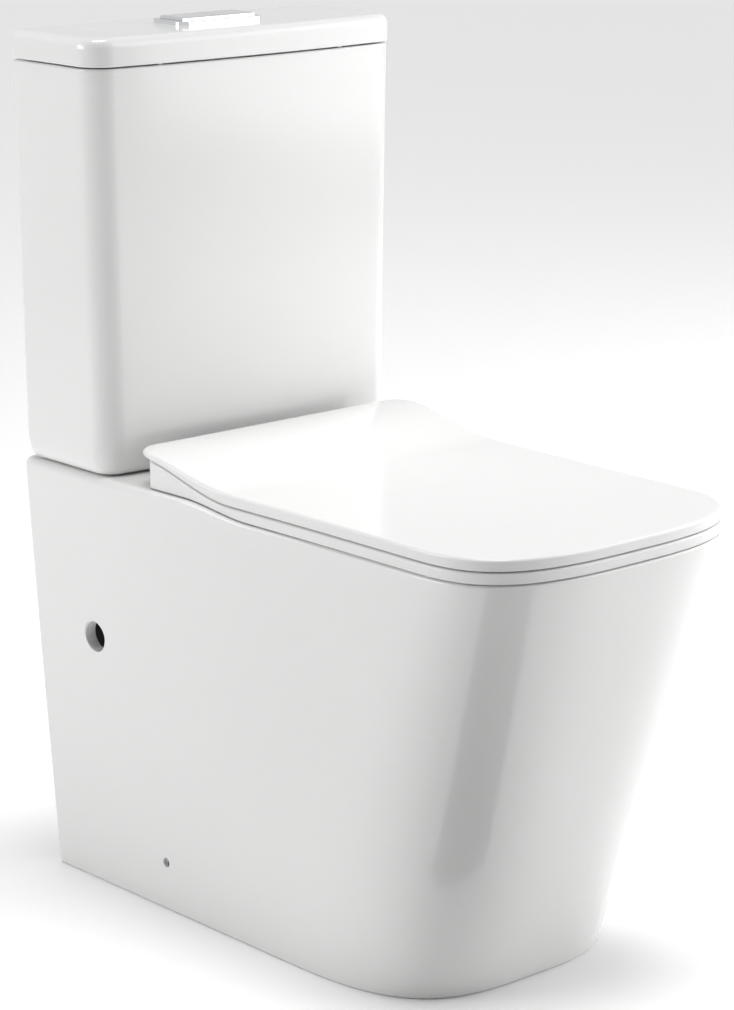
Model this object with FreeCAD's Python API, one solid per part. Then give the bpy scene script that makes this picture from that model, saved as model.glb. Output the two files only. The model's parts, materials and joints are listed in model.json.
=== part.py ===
import FreeCAD, Part
import math
import os

# A close coupled toilet: a back-to-wall china pan with a china cistern bolted on its rear shelf.
# Millimetres. Z is up, the floor is z = 0, the user sits facing -Y, and the wall is the plane
# y = depth / 2. Distances "d" run forward from that wall, and x = 0 is the centre plane.

V = FreeCAD.Vector
os.makedirs("parts", exist_ok=True)

# ---- Overall sizes
depth = 646.0              # wall to the front of the rim
deck_height = 425.0        # rear shelf that carries the cistern
rim_drop = 8.0             # the rim in front of the shelf lies this much lower
tank_top = 810.0           # open edge of the cistern
lid_height = 28.0          # the cistern lid stands this much above that edge

# ---- Pan, outside
deck_half = 178.5          # half width of the shelf
rim_half = 164.0           # half width of the rim
floor_half = 148.7         # half width where the pan meets the floor
floor_depth = 526.0        # wall to the front of the foot
rim_straight = 534.0       # where the rim's sides turn into its front curve
floor_straight = 338.0     # the same on the floor
rim_power = 3.1            # squareness of the front curve at the rim
floor_power = 3.3          # squareness of the front curve at the floor
waist_start = 100.0        # the side narrows from the shelf's width...
waist_end = 440.0          # ...to the rim's width between these distances
side_bow = 0.035           # outward bow of the side, as a share of its flare
sweep_start = 230.0        # the top drops from the shelf to the rim...
sweep_end = 320.0          # ...between these distances

# ---- Pan, inside
china = 12.0               # thickness of the outer skin
bowl_wall = 11.0
deck_thick = 15.0
rim_thick = 22.0
bowl_back = 240.0          # wall to the back of the bowl's mouth
rim_width_front = 40.0
rim_width_side = 36.0
bowl_floor = 104.0         # height of the lowest point of the bowl
trap_bore = 27.0           # radius of the trapway
trap_wall = 10.0
trap_low = 128.0           # height of the trapway's centre line at its dip
trap_high = 232.0          # and at its crown
trap_bend = 44.0           # radius of the trapway's bends
outlet_height = 182.0      # centre of the waste outlet
outlet_radius = 51.0
outlet_wall = 9.0
outlet_from_wall = 12.0
outlet_length = 118.0
duct_half = 31.0           # half width of the flush water duct
duct_height = 44.0
access_radius = 15.0       # side access hole
access_from_wall = 91.0
access_height = 261.0
fix_radius = 4.6           # floor fixing hole in the side
fix_from_wall = 177.0
fix_height = 50.0
fix_seat_depth = 7.0
bracket_foot = 40.0
bracket_thick = 8.0
bracket_hole = 4.0
bracket_hole_in = 26.0

# ---- Cistern
tank_gap = 1.2             # thickness of the pads between cistern and shelf
tank_half_top = 185.8
tank_half_low = 180.0
tank_side_top = 132.0      # depth at the sides, top
tank_side_low = 131.0
tank_bow = 7.0             # forward bow of the front face
tank_corner = 27.0
tank_back_corner = 10.0
tank_wall = 9.0
tank_floor = 14.0
foot_round = 32.0          # height of the rounding under the cistern
foot_inset = 9.6           # how far that rounding draws in
lid_seam = 1.5             # gap between cistern and lid
lid_overhang = 0.8
lid_round = 11.0
lid_skin = 12.0
lid_wall = 10.0

# ---- Cistern fittings
valve_from_wall = 62.0     # flush valve, fill valve and bolts stand in one row
valve_tail = 27.5
valve_bore = 22.0
valve_flange = 38.0
valve_nut = 36.0
tower_radius = 34.0
tower_wall = 4.0
tower_stand = 61.0         # foot of the tower above the shelf
head_room = 120.0          # from the top of tower and riser to the open edge
overflow_radius = 14.0
overflow_wall = 2.5
overflow_room = 170.0      # from the overflow to the open edge
seat_rise = 13.0           # the flush valve's seat above its flange
tail_drop = 22.0           # the threaded tail below the cistern
head_thick = 16.0
plunger_radius = 5.0
plunger_room = 102.0       # from the plungers to the top of the lid
inlet_x = -115.0
inlet_radius = 10.4        # free end of the inlet tail
shank_radius = 11.0        # the tail inside its nut and the cistern floor
inlet_drop = 49.0          # end of the tail below the shelf
lock_nut = 12.0            # height of the two lock nuts
riser_radius = 13.0
fill_head_height = 26.0
float_radius = 31.0
float_tall = 70.0
float_room = 16.0          # from the raised float to the top of the riser
lever_reach = 42.0
pivot_d = 22.0             # the lever's pivot in front of the fill valve's centre
pivot_rise = 12.0          # and above its head
pivot_radius = 2.0
nipple_x = 22.0            # the refill nipple beside the fill valve
hose_radius = 4.0
hose_rise = 50.0
hose_bend = 24.0
bolt_x = 80.0
bolt_radius = 4.0
seal_thick = 3.0
gasket_gap = 3.5
gasket_wide = 7.5
recess_depth = 16.0        # recess in the shelf for the gasket
buffer_x = 110.0
buffer_radius = 3.0

# ---- Flush buttons
button_from_wall = 66.0
bezel_width = 102.0
bezel_depth = 50.0
bezel_rise = 4.0
button_width = 44.0
button_depth = 35.0
button_thick = 6.0
button_proud = 7.0         # top of the buttons above the lid
pocket_depth = 6.0
pocket_wall = 1.5
bezel_corner = 10.0
stem_length = 20.0         # how far the stems reach below the lid's top
collar_radius = 25.0       # threaded collar through the lid
collar_wall = 2.5
stem_x = 12.0              # stems and push rods, each side of the centre
stem_radius = 6.0
rod_radius = 3.0

# ---- Seat and lid
seat_gap = 1.2             # gap that the rubber bumpers keep open
ring_back_rise = 20.0      # top of the ring above the shelf, at the hinge
ring_front_rise = 11.5     # and above the rim, in front
cover_back_rise = 34.3     # the same for the lid
cover_front_rise = 23.4
seat_sweep_start = 160.0
seat_sweep_end = 297.0
seat_back = 155.0          # wall to the rear edge of the lid
seat_back_half = 170.0
seat_corner = 28.0
seat_front_inset = 0.6
seat_skin = 4.0
seat_wall = 5.0
hole_half = 111.0          # opening in the ring
hole_back = 272.0
hole_front = 592.0
hole_power = 2.6
hinge_from_wall = 171.0
hinge_room = 1.3           # from the knuckles to the ceiling of the lid
hinge_x = 77.5
hinge_half = 7.5           # half thickness of a hinge post
hinge_radius = 8.0
hinge_pin = 4.0
ear_length = 17.0
damper_length = 24.0
damper_radius = 6.0
stud_radius = 3.0
hinge_hole = 7.0           # hole in the shelf for the stud and its bush
pad_x = 142.0              # rubber bumpers under the ring and the lid
ring_pad_back = 345.0
ring_pad_front = 520.0
lid_pad_back = 330.0
lid_pad_front = 540.0

# ---- Clearances
play = 0.4                 # between parts that move past each other
running = 0.05             # radial clearance on hinge pins
slip = 0.5                 # radial clearance of guides
contact = 0.3              # left under a part that rests on another that moves

# ---- Levels that follow from these
rim_height = deck_height - rim_drop
lid_top = tank_top + lid_height
tower_low = deck_height + tower_stand
tower_high = tank_top - head_room
riser_high = tank_top - head_room
overflow_high = tank_top - overflow_room
plunger_high = lid_top - plunger_room
float_high = riser_high - float_room
inlet_low = deck_height - inlet_drop
ring_back_high = deck_height + ring_back_rise
ring_front_high = rim_height + ring_front_rise
cover_back_high = deck_height + cover_back_rise
cover_front_high = rim_height + cover_front_rise
hinge_height = cover_back_high - seat_skin - hinge_room - hinge_radius


def out(d):
    """The y of a point d forward of the wall."""
    return depth / 2 - d


def block(x0, x1, d0, d1, z0, z1):
    return Part.makeBox(x1 - x0, d1 - d0, z1 - z0, V(x0, out(d1), z0))


def rod(radius, x, d, z0, z1):
    return Part.makeCylinder(radius, z1 - z0, V(x, out(d), z0))


def ring(outer, inner, x, d, z0, z1):
    return rod(outer, x, d, z0, z1).cut(rod(inner, x, d, z0 - 1, z1 + 1))


def cross_rod(radius, x0, x1, d, z):
    return Part.makeCylinder(radius, x1 - x0, V(x0, out(d), z), V(1, 0, 0))


def hexagon(across, x, d, z0, z1):
    corners = [math.radians(60 * i) for i in range(7)]
    reach = across / math.sqrt(3)
    points = [V(x + reach * math.cos(a), out(d) + reach * math.sin(a), z0) for a in corners]
    return Part.Face(Part.makePolygon(points)).extrude(V(0, 0, z1 - z0))


def mirrored(shape):
    return shape.mirror(V(0, 0, 0), V(1, 0, 0))


def both(shape):
    """The shape and its mirror image across the centre plane."""
    return [shape, mirrored(shape)]


def join(*shapes):
    return shapes[0].fuse(list(shapes[1:])).removeSplitter()


def less(shape, *tools):
    return shape.cut(list(tools))


def save(name, *solids):
    shape = solids[0] if len(solids) == 1 else Part.makeCompound(list(solids))
    print(f"{name}: {len(shape.Solids)} solid(s), {shape.Volume / 1000:.1f} cm3, valid {shape.isValid()}")
    shape.exportStep(f"parts/{name}.step")


def ease(t):
    """0 to 1 with level ends."""
    t = min(max(t, 0.0), 1.0)
    return t * t * (3 - 2 * t)


def mix(a, b, t):
    return a + (b - a) * t


# ---- Plan outlines


def front_curve(half, straight, front, power):
    """A superellipse from one side, round the front, to the other side."""
    points = []
    for i in range(1, 30):
        a = math.pi * i / 30
        c, s = math.cos(a), math.sin(a)
        x = half * math.copysign(abs(c) ** (2 / power), c)
        points.append((x, straight + (front - straight) * s ** (2 / power)))
    return points


def spline(points, z, closed=False):
    curve = Part.BSplineCurve()
    curve.interpolate([V(x, out(d), z) for x, d in points], PeriodicFlag=closed)
    return curve.toShape()


def side_half(d, rise, back_half):
    """Half width of a side that narrows between the waist distances and flares with height."""
    waist = ease((d - waist_start) / (waist_end - waist_start))
    top = mix(back_half, rim_half, waist)
    return floor_half + (top - floor_half) * (rise + side_bow * 4 * rise * (1 - rise))


def pan_outline(z, inset=0.0, back=0.0):
    """The pan's outline at height z: a straight back, two sides and a squared front curve."""
    rise = z / rim_height
    straight = mix(floor_straight, rim_straight, rise)
    front = mix(floor_depth, depth, rise) - inset
    power = mix(floor_power, rim_power, rise)
    steps = 8
    side = [back + (straight - back) * i / steps for i in range(steps + 1)]
    right = [(side_half(d, rise, deck_half) - inset, d) for d in side]
    left = [(-x, d) for x, d in reversed(right)]
    points = right + front_curve(right[-1][0], straight, front, power) + left
    edge = Part.makeLine(V(-right[0][0], out(back), z), V(right[0][0], out(back), z))
    return Part.Wire([spline(points, z), edge])


def seat_outline(z, inset=0.0):
    """The seat's outline: straight back, round rear corners, then sides and front like the rim's."""
    radius = seat_corner - inset
    start = seat_back + seat_corner
    steps = 6
    side = [start + (rim_straight - start) * i / steps for i in range(steps + 1)]
    right = [(side_half(d, 1.0, seat_back_half) - inset, d) for d in side]
    left = [(-x, d) for x, d in reversed(right)]
    front = depth - seat_front_inset - inset
    points = right + front_curve(right[-1][0], rim_straight, front, rim_power) + left
    corner_x = right[0][0] - radius
    back = seat_back + inset
    half = radius * math.sqrt(0.5)
    edges = [spline(points, z)]
    edges.append(corner_arc(-1, corner_x, start, radius, half, z))
    edges.append(Part.makeLine(V(-corner_x, out(back), z), V(corner_x, out(back), z)))
    edges.append(corner_arc(1, corner_x, start, radius, half, z))
    return Part.Wire(Part.__sortEdges__(edges))


def corner_arc(side, corner_x, corner_d, radius, half, z):
    a = V(side * (corner_x + radius), out(corner_d), z)
    b = V(side * (corner_x + half), out(corner_d - half), z)
    c = V(side * corner_x, out(corner_d - radius), z)
    return Part.Arc(a, b, c).toShape()


def oval(z, centre, half_depth, half_width, power):
    """A closed superellipse for the sections of the bowl and for the hole in the ring."""
    points = []
    for i in range(40):
        a = 2 * math.pi * i / 40
        c, s = math.cos(a), math.sin(a)
        x = half_width * math.copysign(abs(c) ** (2 / power), c)
        d = centre + half_depth * math.copysign(abs(s) ** (2 / power), s)
        points.append((x, d))
    return Part.Wire([spline(points, z, closed=True)])


def tank_outline(z, half, side_depth, inset=0.0):
    """A rectangle with round corners whose front face is a shallow arc."""
    half -= inset
    back = inset
    r = max(tank_corner - inset, 4.0)
    rb = max(tank_back_corner - inset, 3.0)
    side = side_depth - inset
    turn = 2 * math.atan(tank_bow / (half - r))
    cx, cd = half - r, side - r
    end = V(cx + r * math.sin(turn), out(cd + r * math.cos(turn)), z)
    mid = V(cx + r * math.cos((math.pi / 2 - turn) / 2), out(cd + r * math.sin((math.pi / 2 - turn) / 2)), z)
    bow_radius = end.x / math.sin(turn)
    nose = V(0, end.y - bow_radius * (1 - math.cos(turn)), z)
    half_r = rb * (1 - math.sqrt(0.5))
    edges = [
        Part.makeLine(V(half, out(back + rb), z), V(half, out(cd), z)),
        Part.Arc(V(half, out(cd), z), mid, end).toShape(),
        Part.Arc(end, nose, V(-end.x, end.y, z)).toShape(),
        Part.Arc(V(-end.x, end.y, z), V(-mid.x, mid.y, z), V(-half, out(cd), z)).toShape(),
        Part.makeLine(V(-half, out(cd), z), V(-half, out(back + rb), z)),
        Part.Arc(
            V(-half, out(back + rb), z),
            V(-half + half_r, out(back + half_r), z),
            V(-half + rb, out(back), z),
        ).toShape(),
        Part.makeLine(V(-half + rb, out(back), z), V(half - rb, out(back), z)),
        Part.Arc(
            V(half - rb, out(back), z),
            V(half - half_r, out(back + half_r), z),
            V(half, out(back + rb), z),
        ).toShape(),
    ]
    return Part.Wire(edges)


def slab(low, high, d0=100.0, d1=700.0):
    """A slice across the toilet between two profiles, each (back z, front z, sweep start, sweep end)."""

    def profile(back_z, front_z, start, end):
        third = (end - start) / 3
        poles = [(start, back_z), (start + third, back_z), (end - third, front_z), (end, front_z)]
        curve = Part.BezierCurve()
        curve.setPoles([V(-300, out(d), z) for d, z in poles])
        first = Part.makeLine(V(-300, out(d0), back_z), V(-300, out(start), back_z))
        last = Part.makeLine(V(-300, out(end), front_z), V(-300, out(d1), front_z))
        return [first, curve.toShape(), last]

    sides = [
        Part.makeLine(V(-300, out(d0), low[0]), V(-300, out(d0), high[0])),
        Part.makeLine(V(-300, out(d1), low[1]), V(-300, out(d1), high[1])),
    ]
    wire = Part.Wire(Part.__sortEdges__(profile(*low) + profile(*high) + sides))
    return Part.Face(wire).extrude(V(600, 0, 0))


# ---- Pan


def pan_body():
    """The pan's outer form, cut to the line of the shelf and the rim."""
    levels = [rim_height * k / 3 for k in range(3)] + [deck_height + 2]
    body = Part.makeLoft([pan_outline(z, 0.0, -4.0) for z in levels], True, False)
    body = less(body, behind(0.0))
    top = (deck_height, rim_height, sweep_start, sweep_end)
    above = (deck_height + 60, rim_height + 60, sweep_start, sweep_end)
    return less(body, slab(top, above, d0=-50.0, d1=depth + 60))


def pan_hollow():
    """The space inside the skirt, open at the floor and at the wall."""
    top = deck_height - deck_thick
    levels = [-8.0, top * 0.35, top * 0.7, top]
    hollow = Part.makeLoft([pan_outline(z, china, -8.0) for z in levels], True, False)
    rim = block(-300, 300, bowl_back - 30, depth + 60, rim_height - rim_thick, deck_height + 10)
    return less(hollow, rim)


def bowl_form(grow):
    """The bowl as a stack of ovals; grow is the wall added outside."""
    front = depth - rim_width_front
    centre = (bowl_back + front) / 2
    half_d = (front - bowl_back) / 2
    half_w = rim_half - rim_width_side
    drop = rim_height - bowl_floor
    shape = [(1.03, 0, 1.0, 1.0, 2.8), (0.9, 0, 0.99, 0.99, 2.7), (0.7, -8, 0.94, 0.93, 2.5)]
    shape += [(0.48, -22, 0.8, 0.79, 2.3), (0.28, -40, 0.58, 0.59, 2.1), (0.12, -58, 0.37, 0.38, 2.0)]
    shape += [(0.03, -66, 0.25, 0.27, 2.0), (0.0, -68, 0.16, 0.18, 2.0)]
    wires = []
    for level, shift, long, wide, power in shape:
        z = bowl_floor + drop * level - (grow if level == 0.0 else 0)
        wires.append(oval(z, centre + shift, half_d * long + grow, half_w * wide + grow, power))
    return Part.makeLoft(wires, True, False)


def trapway(radius):
    """The S-shaped waterway behind the bowl: a dip, a rise to the crown and a fall to the outlet."""
    end = outlet_from_wall + outlet_length
    start = (bowl_back + depth - rim_width_front) / 2 - 62
    low = V(0, out(start - 66), trap_low)
    crown = V(0, out(end + 104), trap_high)
    fall = V(0, out(end + 56), trap_high)
    foot = V(0, out(end + 12), outlet_height)
    points = [V(0, out(start), trap_low), low, crown, fall, foot, V(0, out(end - 14), outlet_height)]
    edges = []
    here = points[0]
    for before, corner, after in zip(points, points[1:], points[2:]):
        back = (before - corner).normalize()
        ahead = (after - corner).normalize()
        half_turn = (math.pi - back.getAngle(ahead)) / 2
        bend = min(trap_bend, 0.49 * (after - corner).Length / math.tan(half_turn))
        reach = bend * math.tan(half_turn)
        enter = corner + back * reach
        leave = corner + ahead * reach
        bisector = (back + ahead).normalize()
        middle = corner + bisector * (bend / math.cos(half_turn) - bend)
        edges.append(Part.makeLine(here, enter))
        edges.append(Part.Arc(enter, middle, leave).toShape())
        here = leave
    edges.append(Part.makeLine(here, points[-1]))
    path = Part.Wire(edges)
    circle = Part.Wire([Part.makeCircle(radius, points[0], V(0, -1, 0))])
    return path.makePipeShell([circle], True, False)


def outlet(radius, start, end):
    return Part.makeCylinder(radius, end - start, V(0, out(start), outlet_height), V(0, -1, 0))


def make_pan():
    top = deck_height - deck_thick
    outlet_end = outlet_from_wall + outlet_length
    recess = valve_nut + gasket_gap + gasket_wide + 1
    duct_low = top - duct_height - bowl_wall - 14
    duct_out = duct_half + bowl_wall
    d = valve_from_wall
    waterways = [
        bowl_form(bowl_wall),
        trapway(trap_bore + trap_wall),
        outlet(outlet_radius, outlet_from_wall, outlet_end + 4),
        rod(recess + 9, 0, d, duct_low, top + 1),
        block(-duct_out, duct_out, d, bowl_back + 20, duct_low, top + 1),
    ]
    hollow = less(pan_hollow(), *waterways)
    pan = less(pan_body(), hollow)
    duct_top = duct_low + bowl_wall + duct_height
    cuts = [
        bowl_form(0),
        trapway(trap_bore),
        outlet(outlet_radius - outlet_wall, outlet_from_wall - 30, outlet_end - 4),
        rod(recess, 0, d, deck_height - recess_depth, deck_height + 5),
        rod(duct_half + 2, 0, d, duct_low + bowl_wall, deck_height),
        block(-duct_half, duct_half, d, bowl_back + 14, duct_low + bowl_wall, duct_top),
        cross_rod(access_radius, -250, 250, access_from_wall, access_height),
        rod(20.0, inlet_x, d, top - 5, deck_height + 5),
    ]
    cuts += both(rod(bolt_radius + 1.5, bolt_x, d, top - 5, deck_height + 5))
    cuts += both(rod(hinge_hole, hinge_x, hinge_from_wall, top - 5, deck_height + 5))
    cuts += both(cross_rod(3.0, 100, 200, fix_from_wall, fix_height))
    cuts += both(cross_rod(fix_radius, screw_head_x(), 200, fix_from_wall, fix_height))
    return less(pan, *cuts)


def screw_head_x():
    """Where the floor fixing screw's head seats in the side wall."""
    return side_half(fix_from_wall, fix_height / rim_height, deck_half) - fix_seat_depth


# ---- Cistern


def make_tank():
    low = deck_height + tank_gap
    shoulder = low + foot_round
    wires = []
    for k in range(5):
        a = math.radians(90 * k / 4)
        inset = foot_inset * (1 - math.sin(a))
        z = shoulder - foot_round * math.cos(a)
        wires.append(tank_outline(z, tank_half_low - inset, tank_side_low - inset))
    foot = Part.makeLoft(wires, True, False)
    upper = Part.makeLoft(
        [
            tank_outline(shoulder, tank_half_low, tank_side_low),
            tank_outline(tank_top, tank_half_top, tank_side_top),
        ],
        True,
        True,
    )
    inside = Part.makeLoft(
        [
            tank_outline(low + tank_floor, tank_half_low, tank_side_low, tank_wall + 3),
            tank_outline(shoulder, tank_half_low, tank_side_low, tank_wall),
            tank_outline(tank_top + 3, tank_half_top, tank_side_top, tank_wall),
        ],
        True,
        True,
    )
    d = valve_from_wall
    holes = [rod(valve_tail + 1.5, 0, d, low - 5, low + tank_floor + 5)]
    holes.append(rod(shank_radius + 0.8, inlet_x, d, low - 5, low + tank_floor + 5))
    holes += both(rod(bolt_radius + 1.5, bolt_x, d, low - 5, low + tank_floor + 5))
    return less(foot.fuse(upper), inside, *holes)


def make_tank_lid():
    low = tank_top + lid_seam
    half = tank_half_top + lid_overhang
    side = tank_side_top + lid_overhang
    body = Part.Face(tank_outline(low, half, side)).extrude(V(0, 0, lid_top - low))
    rim = [e for e in body.Edges if min(v.Z for v in e.Vertexes) > lid_top - 0.01]
    body = body.makeFillet(min(lid_round, tank_back_corner - 0.5), rim)
    hollow = Part.Face(tank_outline(low - 1, half, side, lid_wall))
    inside = hollow.extrude(V(0, 0, lid_top - lid_skin - low + 1))
    d = button_from_wall
    gap = pocket_wall + 2 * slip
    x, y = button_width + gap, button_depth / 2 + gap
    recess = block(-x, x, d - y, d + y, lid_top - pocket_depth, lid_top + 5)
    return less(body, inside, recess, rod(collar_radius + slip, 0, d, low, lid_top + 5))


def make_lid_buffers():
    """Rubber dots under the lid's rim that keep the seam open."""
    low = tank_top + lid_seam
    bow = tank_bow * (1 - (buffer_x / (tank_half_top - tank_corner)) ** 2)
    front = tank_side_top + bow - tank_wall / 2
    rear = tank_wall / 2
    pads = []
    for d in (rear, front):
        pads += both(rod(buffer_radius, buffer_x, d, tank_top + contact, low))
    save("tank_lid_buffers", *pads)


# ---- Cistern fittings


def floor_level():
    """The inside of the cistern's floor."""
    return deck_height + tank_gap + tank_floor


def make_flush_valve():
    d = valve_from_wall
    low = deck_height + tank_gap
    base = floor_level() + seal_thick
    seat = base + seat_rise
    body = join(
        rod(valve_tail, 0, d, low - tail_drop, base + 5),
        rod(valve_flange, 0, d, base, base + 5),
        rod(valve_bore + 8, 0, d, base + 5, seat - 2),
        rod(valve_bore + 3, 0, d, seat - 3, seat),
    )
    body = less(body, rod(valve_bore, 0, d, low - tail_drop - 5, seat + 5))
    legs = []
    for k in range(4):
        a = math.radians(45 + 90 * k)
        reach = tower_radius - tower_wall / 2 + 0.5
        legs.append(rod(3.0, reach * math.cos(a), d + reach * math.sin(a), base + 4, tower_low + 1))
    collar = ring(tower_radius + 3, tower_radius - tower_wall, 0, d, tower_low, tower_low + 10)
    save("flush_valve_base", join(body, collar, *legs))
    save("flush_valve_washer", ring(valve_flange, valve_tail + play, 0, d, floor_level(), base))
    nut = hexagon(valve_nut * math.sqrt(3), 0, d, low - lock_nut, low)
    save("flush_valve_nut", less(nut, rod(valve_tail, 0, d, low - 20, low + 5)))
    inner = valve_nut + gasket_gap
    save("tank_gasket", ring(inner + gasket_wide, inner, 0, d, deck_height - recess_depth, low))


def make_tower():
    """The flush valve's housing and the head that guides the two plungers."""
    d = valve_from_wall
    body = ring(tower_radius, tower_radius - tower_wall, 0, d, tower_low + 10, tower_high)
    bays = 3
    pitch = (tower_high - tower_low) / (bays + 1)
    for k in range(1, bays + 1):
        z = tower_low + pitch * k
        body = less(body, block(-11, 11, d - 60, d + 60, z - 0.35 * pitch, z + 0.35 * pitch))
    save("flush_tower", body)
    head = join(
        rod(tower_radius + 2, 0, d, tower_high, tower_high + head_thick),
        rod(21, 0, d, tower_high + head_thick - 1, tower_high + head_thick + 8),
    )
    guide = rod(plunger_radius + slip, stem_x, button_from_wall, tower_high - 5, tower_high + 40)
    save("tower_head", less(head, *both(guide)))
    plunger = rod(plunger_radius, stem_x, button_from_wall, tower_high + 2, plunger_high)
    save("full_plunger", plunger)
    save("half_plunger", mirrored(plunger))


def make_canister():
    """The lifting part of the flush valve: an overflow tube with the seal at its foot."""
    d = valve_from_wall
    seat = floor_level() + seal_thick + seat_rise
    inner = overflow_radius - overflow_wall
    tube = ring(overflow_radius, inner, 0, d, seat + seal_thick, overflow_high)
    foot = ring(valve_bore + 5, inner, 0, d, seat + seal_thick, seat + seal_thick + 6)
    save("overflow_tube", join(tube, foot))
    save("flush_seal", ring(valve_bore + 4, inner, 0, d, seat + contact, seat + seal_thick))


def make_fill_valve():
    d = valve_from_wall
    x = inlet_x
    low = deck_height + tank_gap
    base = floor_level() + seal_thick
    top = riser_high + fill_head_height
    body = join(
        rod(inlet_radius, x, d, inlet_low, low - lock_nut),
        rod(shank_radius, x, d, low - lock_nut, base + 1),
        rod(16.5, x, d, base, base + 6),
        rod(riser_radius, x, d, base + 5, riser_high),
    )
    save("fill_valve_body", less(body, rod(6.5, x, d, inlet_low - 5, riser_high - 10)))
    save("fill_valve_washer", ring(16.5, shank_radius, x, d, floor_level(), base))
    nut = hexagon(30.0, x, d, low - lock_nut, low)
    save("fill_valve_nut", less(nut, rod(shank_radius, x, d, low - 20, low + 5)))
    head = join(
        rod(riser_radius + 1, x, d, riser_high, top),
        block(x + 8, x + nipple_x + 6, d - 6, d + 6, riser_high + 6, riser_high + 14),
        block(x - 8, x + 8, d + 8, d + pivot_d + 5, top - 10, top),
        block(x - 8, x + 8, d + pivot_d - 5, d + pivot_d + 5, top - 10, top + pivot_rise + 4),
    )
    pivot = cross_rod(pivot_radius + running, x - 20, x + 20, d + pivot_d, top + pivot_rise)
    save("fill_valve_head", less(head, pivot))


def make_float():
    d = valve_from_wall
    inner = riser_radius + 1.2
    save("fill_float", ring(float_radius, inner, inlet_x, d, float_high - float_tall, float_high))
    rod_top = riser_high + fill_head_height + pivot_rise + 14
    link = rod(1.5, inlet_x, d + pivot_d - lever_reach, float_high, rod_top)
    save("float_rod", link)


def make_lever():
    """A fork over the fill valve's head, from the pivot in front of it to the float rod behind it."""
    x = inlet_x
    z = riser_high + fill_head_height + pivot_rise
    pivot = valve_from_wall + pivot_d
    end = pivot - lever_reach
    cheek = block(x + 8.8, x + 11.8, end - 6, pivot + 4, z - 3, z + 7)
    other = block(x - 11.8, x - 8.8, end - 6, pivot + 4, z - 3, z + 7)
    bar = block(x - 11.8, x + 11.8, end - 6, pivot - 10, z + 4, z + 7)
    pin = cross_rod(pivot_radius, x - 11.8, x + 11.8, pivot, z)
    slot = block(x - 2.2, x + 2.2, end - 4, end + 5, z, z + 12)
    save("float_lever", less(join(bar, pin, cheek, other), slot))


def make_refill_tube():
    """A hose from the fill valve's nipple, over and down to the top of the tower's head."""
    y = out(valve_from_wall)
    x0, x1 = inlet_x + nipple_x, -(tower_radius - 5)
    z0, z1 = riser_high + 14, tower_high + head_thick
    top = riser_high + hose_rise
    bend = hose_bend
    part = bend * (1 - math.sqrt(0.5))
    edges = [
        Part.makeLine(V(x0, y, z0), V(x0, y, top - bend)),
        Part.Arc(V(x0, y, top - bend), V(x0 + part, y, top - part), V(x0 + bend, y, top)).toShape(),
        Part.makeLine(V(x0 + bend, y, top), V(x1 - bend, y, top)),
        Part.Arc(V(x1 - bend, y, top), V(x1 - part, y, top - part), V(x1, y, top - bend)).toShape(),
        Part.makeLine(V(x1, y, top - bend), V(x1, y, z1)),
    ]
    path = Part.Wire(edges)
    outer = Part.Wire([Part.makeCircle(hose_radius, V(x0, y, z0), V(0, 0, 1))])
    save("refill_tube", path.makePipeShell([outer], True, False))


def make_tank_bolts():
    d = valve_from_wall
    x = bolt_x
    base = floor_level()
    under = deck_height - deck_thick
    bolt = join(rod(bolt_radius, x, d, under - 34, base + 9), rod(9, x, d, base + 8, base + 13))
    save("tank_bolts", *both(bolt))
    save("tank_bolt_seals", *both(ring(13, bolt_radius, x, d, base, base + 6)))
    save("tank_bolt_washers", *both(ring(11, bolt_radius, x, d, base + 6, base + 8)))
    save("tank_bolt_cushions", *both(ring(11, bolt_radius, x, d, under - 4, under)))
    save("tank_wing_nuts", *both(wing_nut(16, 15, bolt_radius, x, d, under - 4)))
    save("tank_pads", *both(block(140, 150, 16, 100, deck_height, deck_height + tank_gap)))


def wing_nut(across, reach, bore, x, d, top):
    """A hexagon with two wings below it, screwed up to the height top."""
    body = hexagon(across, x, d, top - 9, top)
    wings = block(x - reach, x + reach, d - 2, d + 2, top - 16, top - 3)
    return less(join(body, wings), rod(bore, x, d, top - 20, top + 5))


# ---- Flush buttons


def make_buttons():
    d = button_from_wall
    x, y = button_width + pocket_wall + slip, button_depth / 2 + pocket_wall + slip
    floor = lid_top - pocket_depth
    half_x, half_y = bezel_width / 2, bezel_depth / 2
    rim = block(-half_x, half_x, d - half_y, d + half_y, lid_top, lid_top + bezel_rise)
    upright = [e for e in rim.Edges if abs(e.Vertexes[0].Z - e.Vertexes[1].Z) > 1]
    rim = rim.makeFillet(bezel_corner, upright)
    top = [e for e in rim.Edges if min(v.Z for v in e.Vertexes) > lid_top + bezel_rise - 0.01]
    rim = rim.makeFillet(1.5, top)
    pocket = block(-x, x, d - y, d + y, floor, lid_top + 1)
    collar = rod(collar_radius, 0, d, tank_top + 3, floor + 1)
    inner = pocket_wall
    well = block(-x + inner, x - inner, d - y + inner, d + y - inner, floor + inner, lid_top + 20)
    bore = rod(collar_radius - collar_wall, 0, d, tank_top, floor - 0.5)
    guides = both(rod(stem_radius + slip, stem_x, d, floor - 5, floor + 5))
    save("button_bezel", less(join(rim, pocket, collar), well, bore, *guides))
    nut = hexagon(62.0, 0, d, lid_top - lid_skin - 9, lid_top - lid_skin)
    save("button_nut", less(nut, rod(collar_radius, 0, d, tank_top, lid_top)))
    make_button(-1, "half")
    make_button(1, "full")


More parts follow.
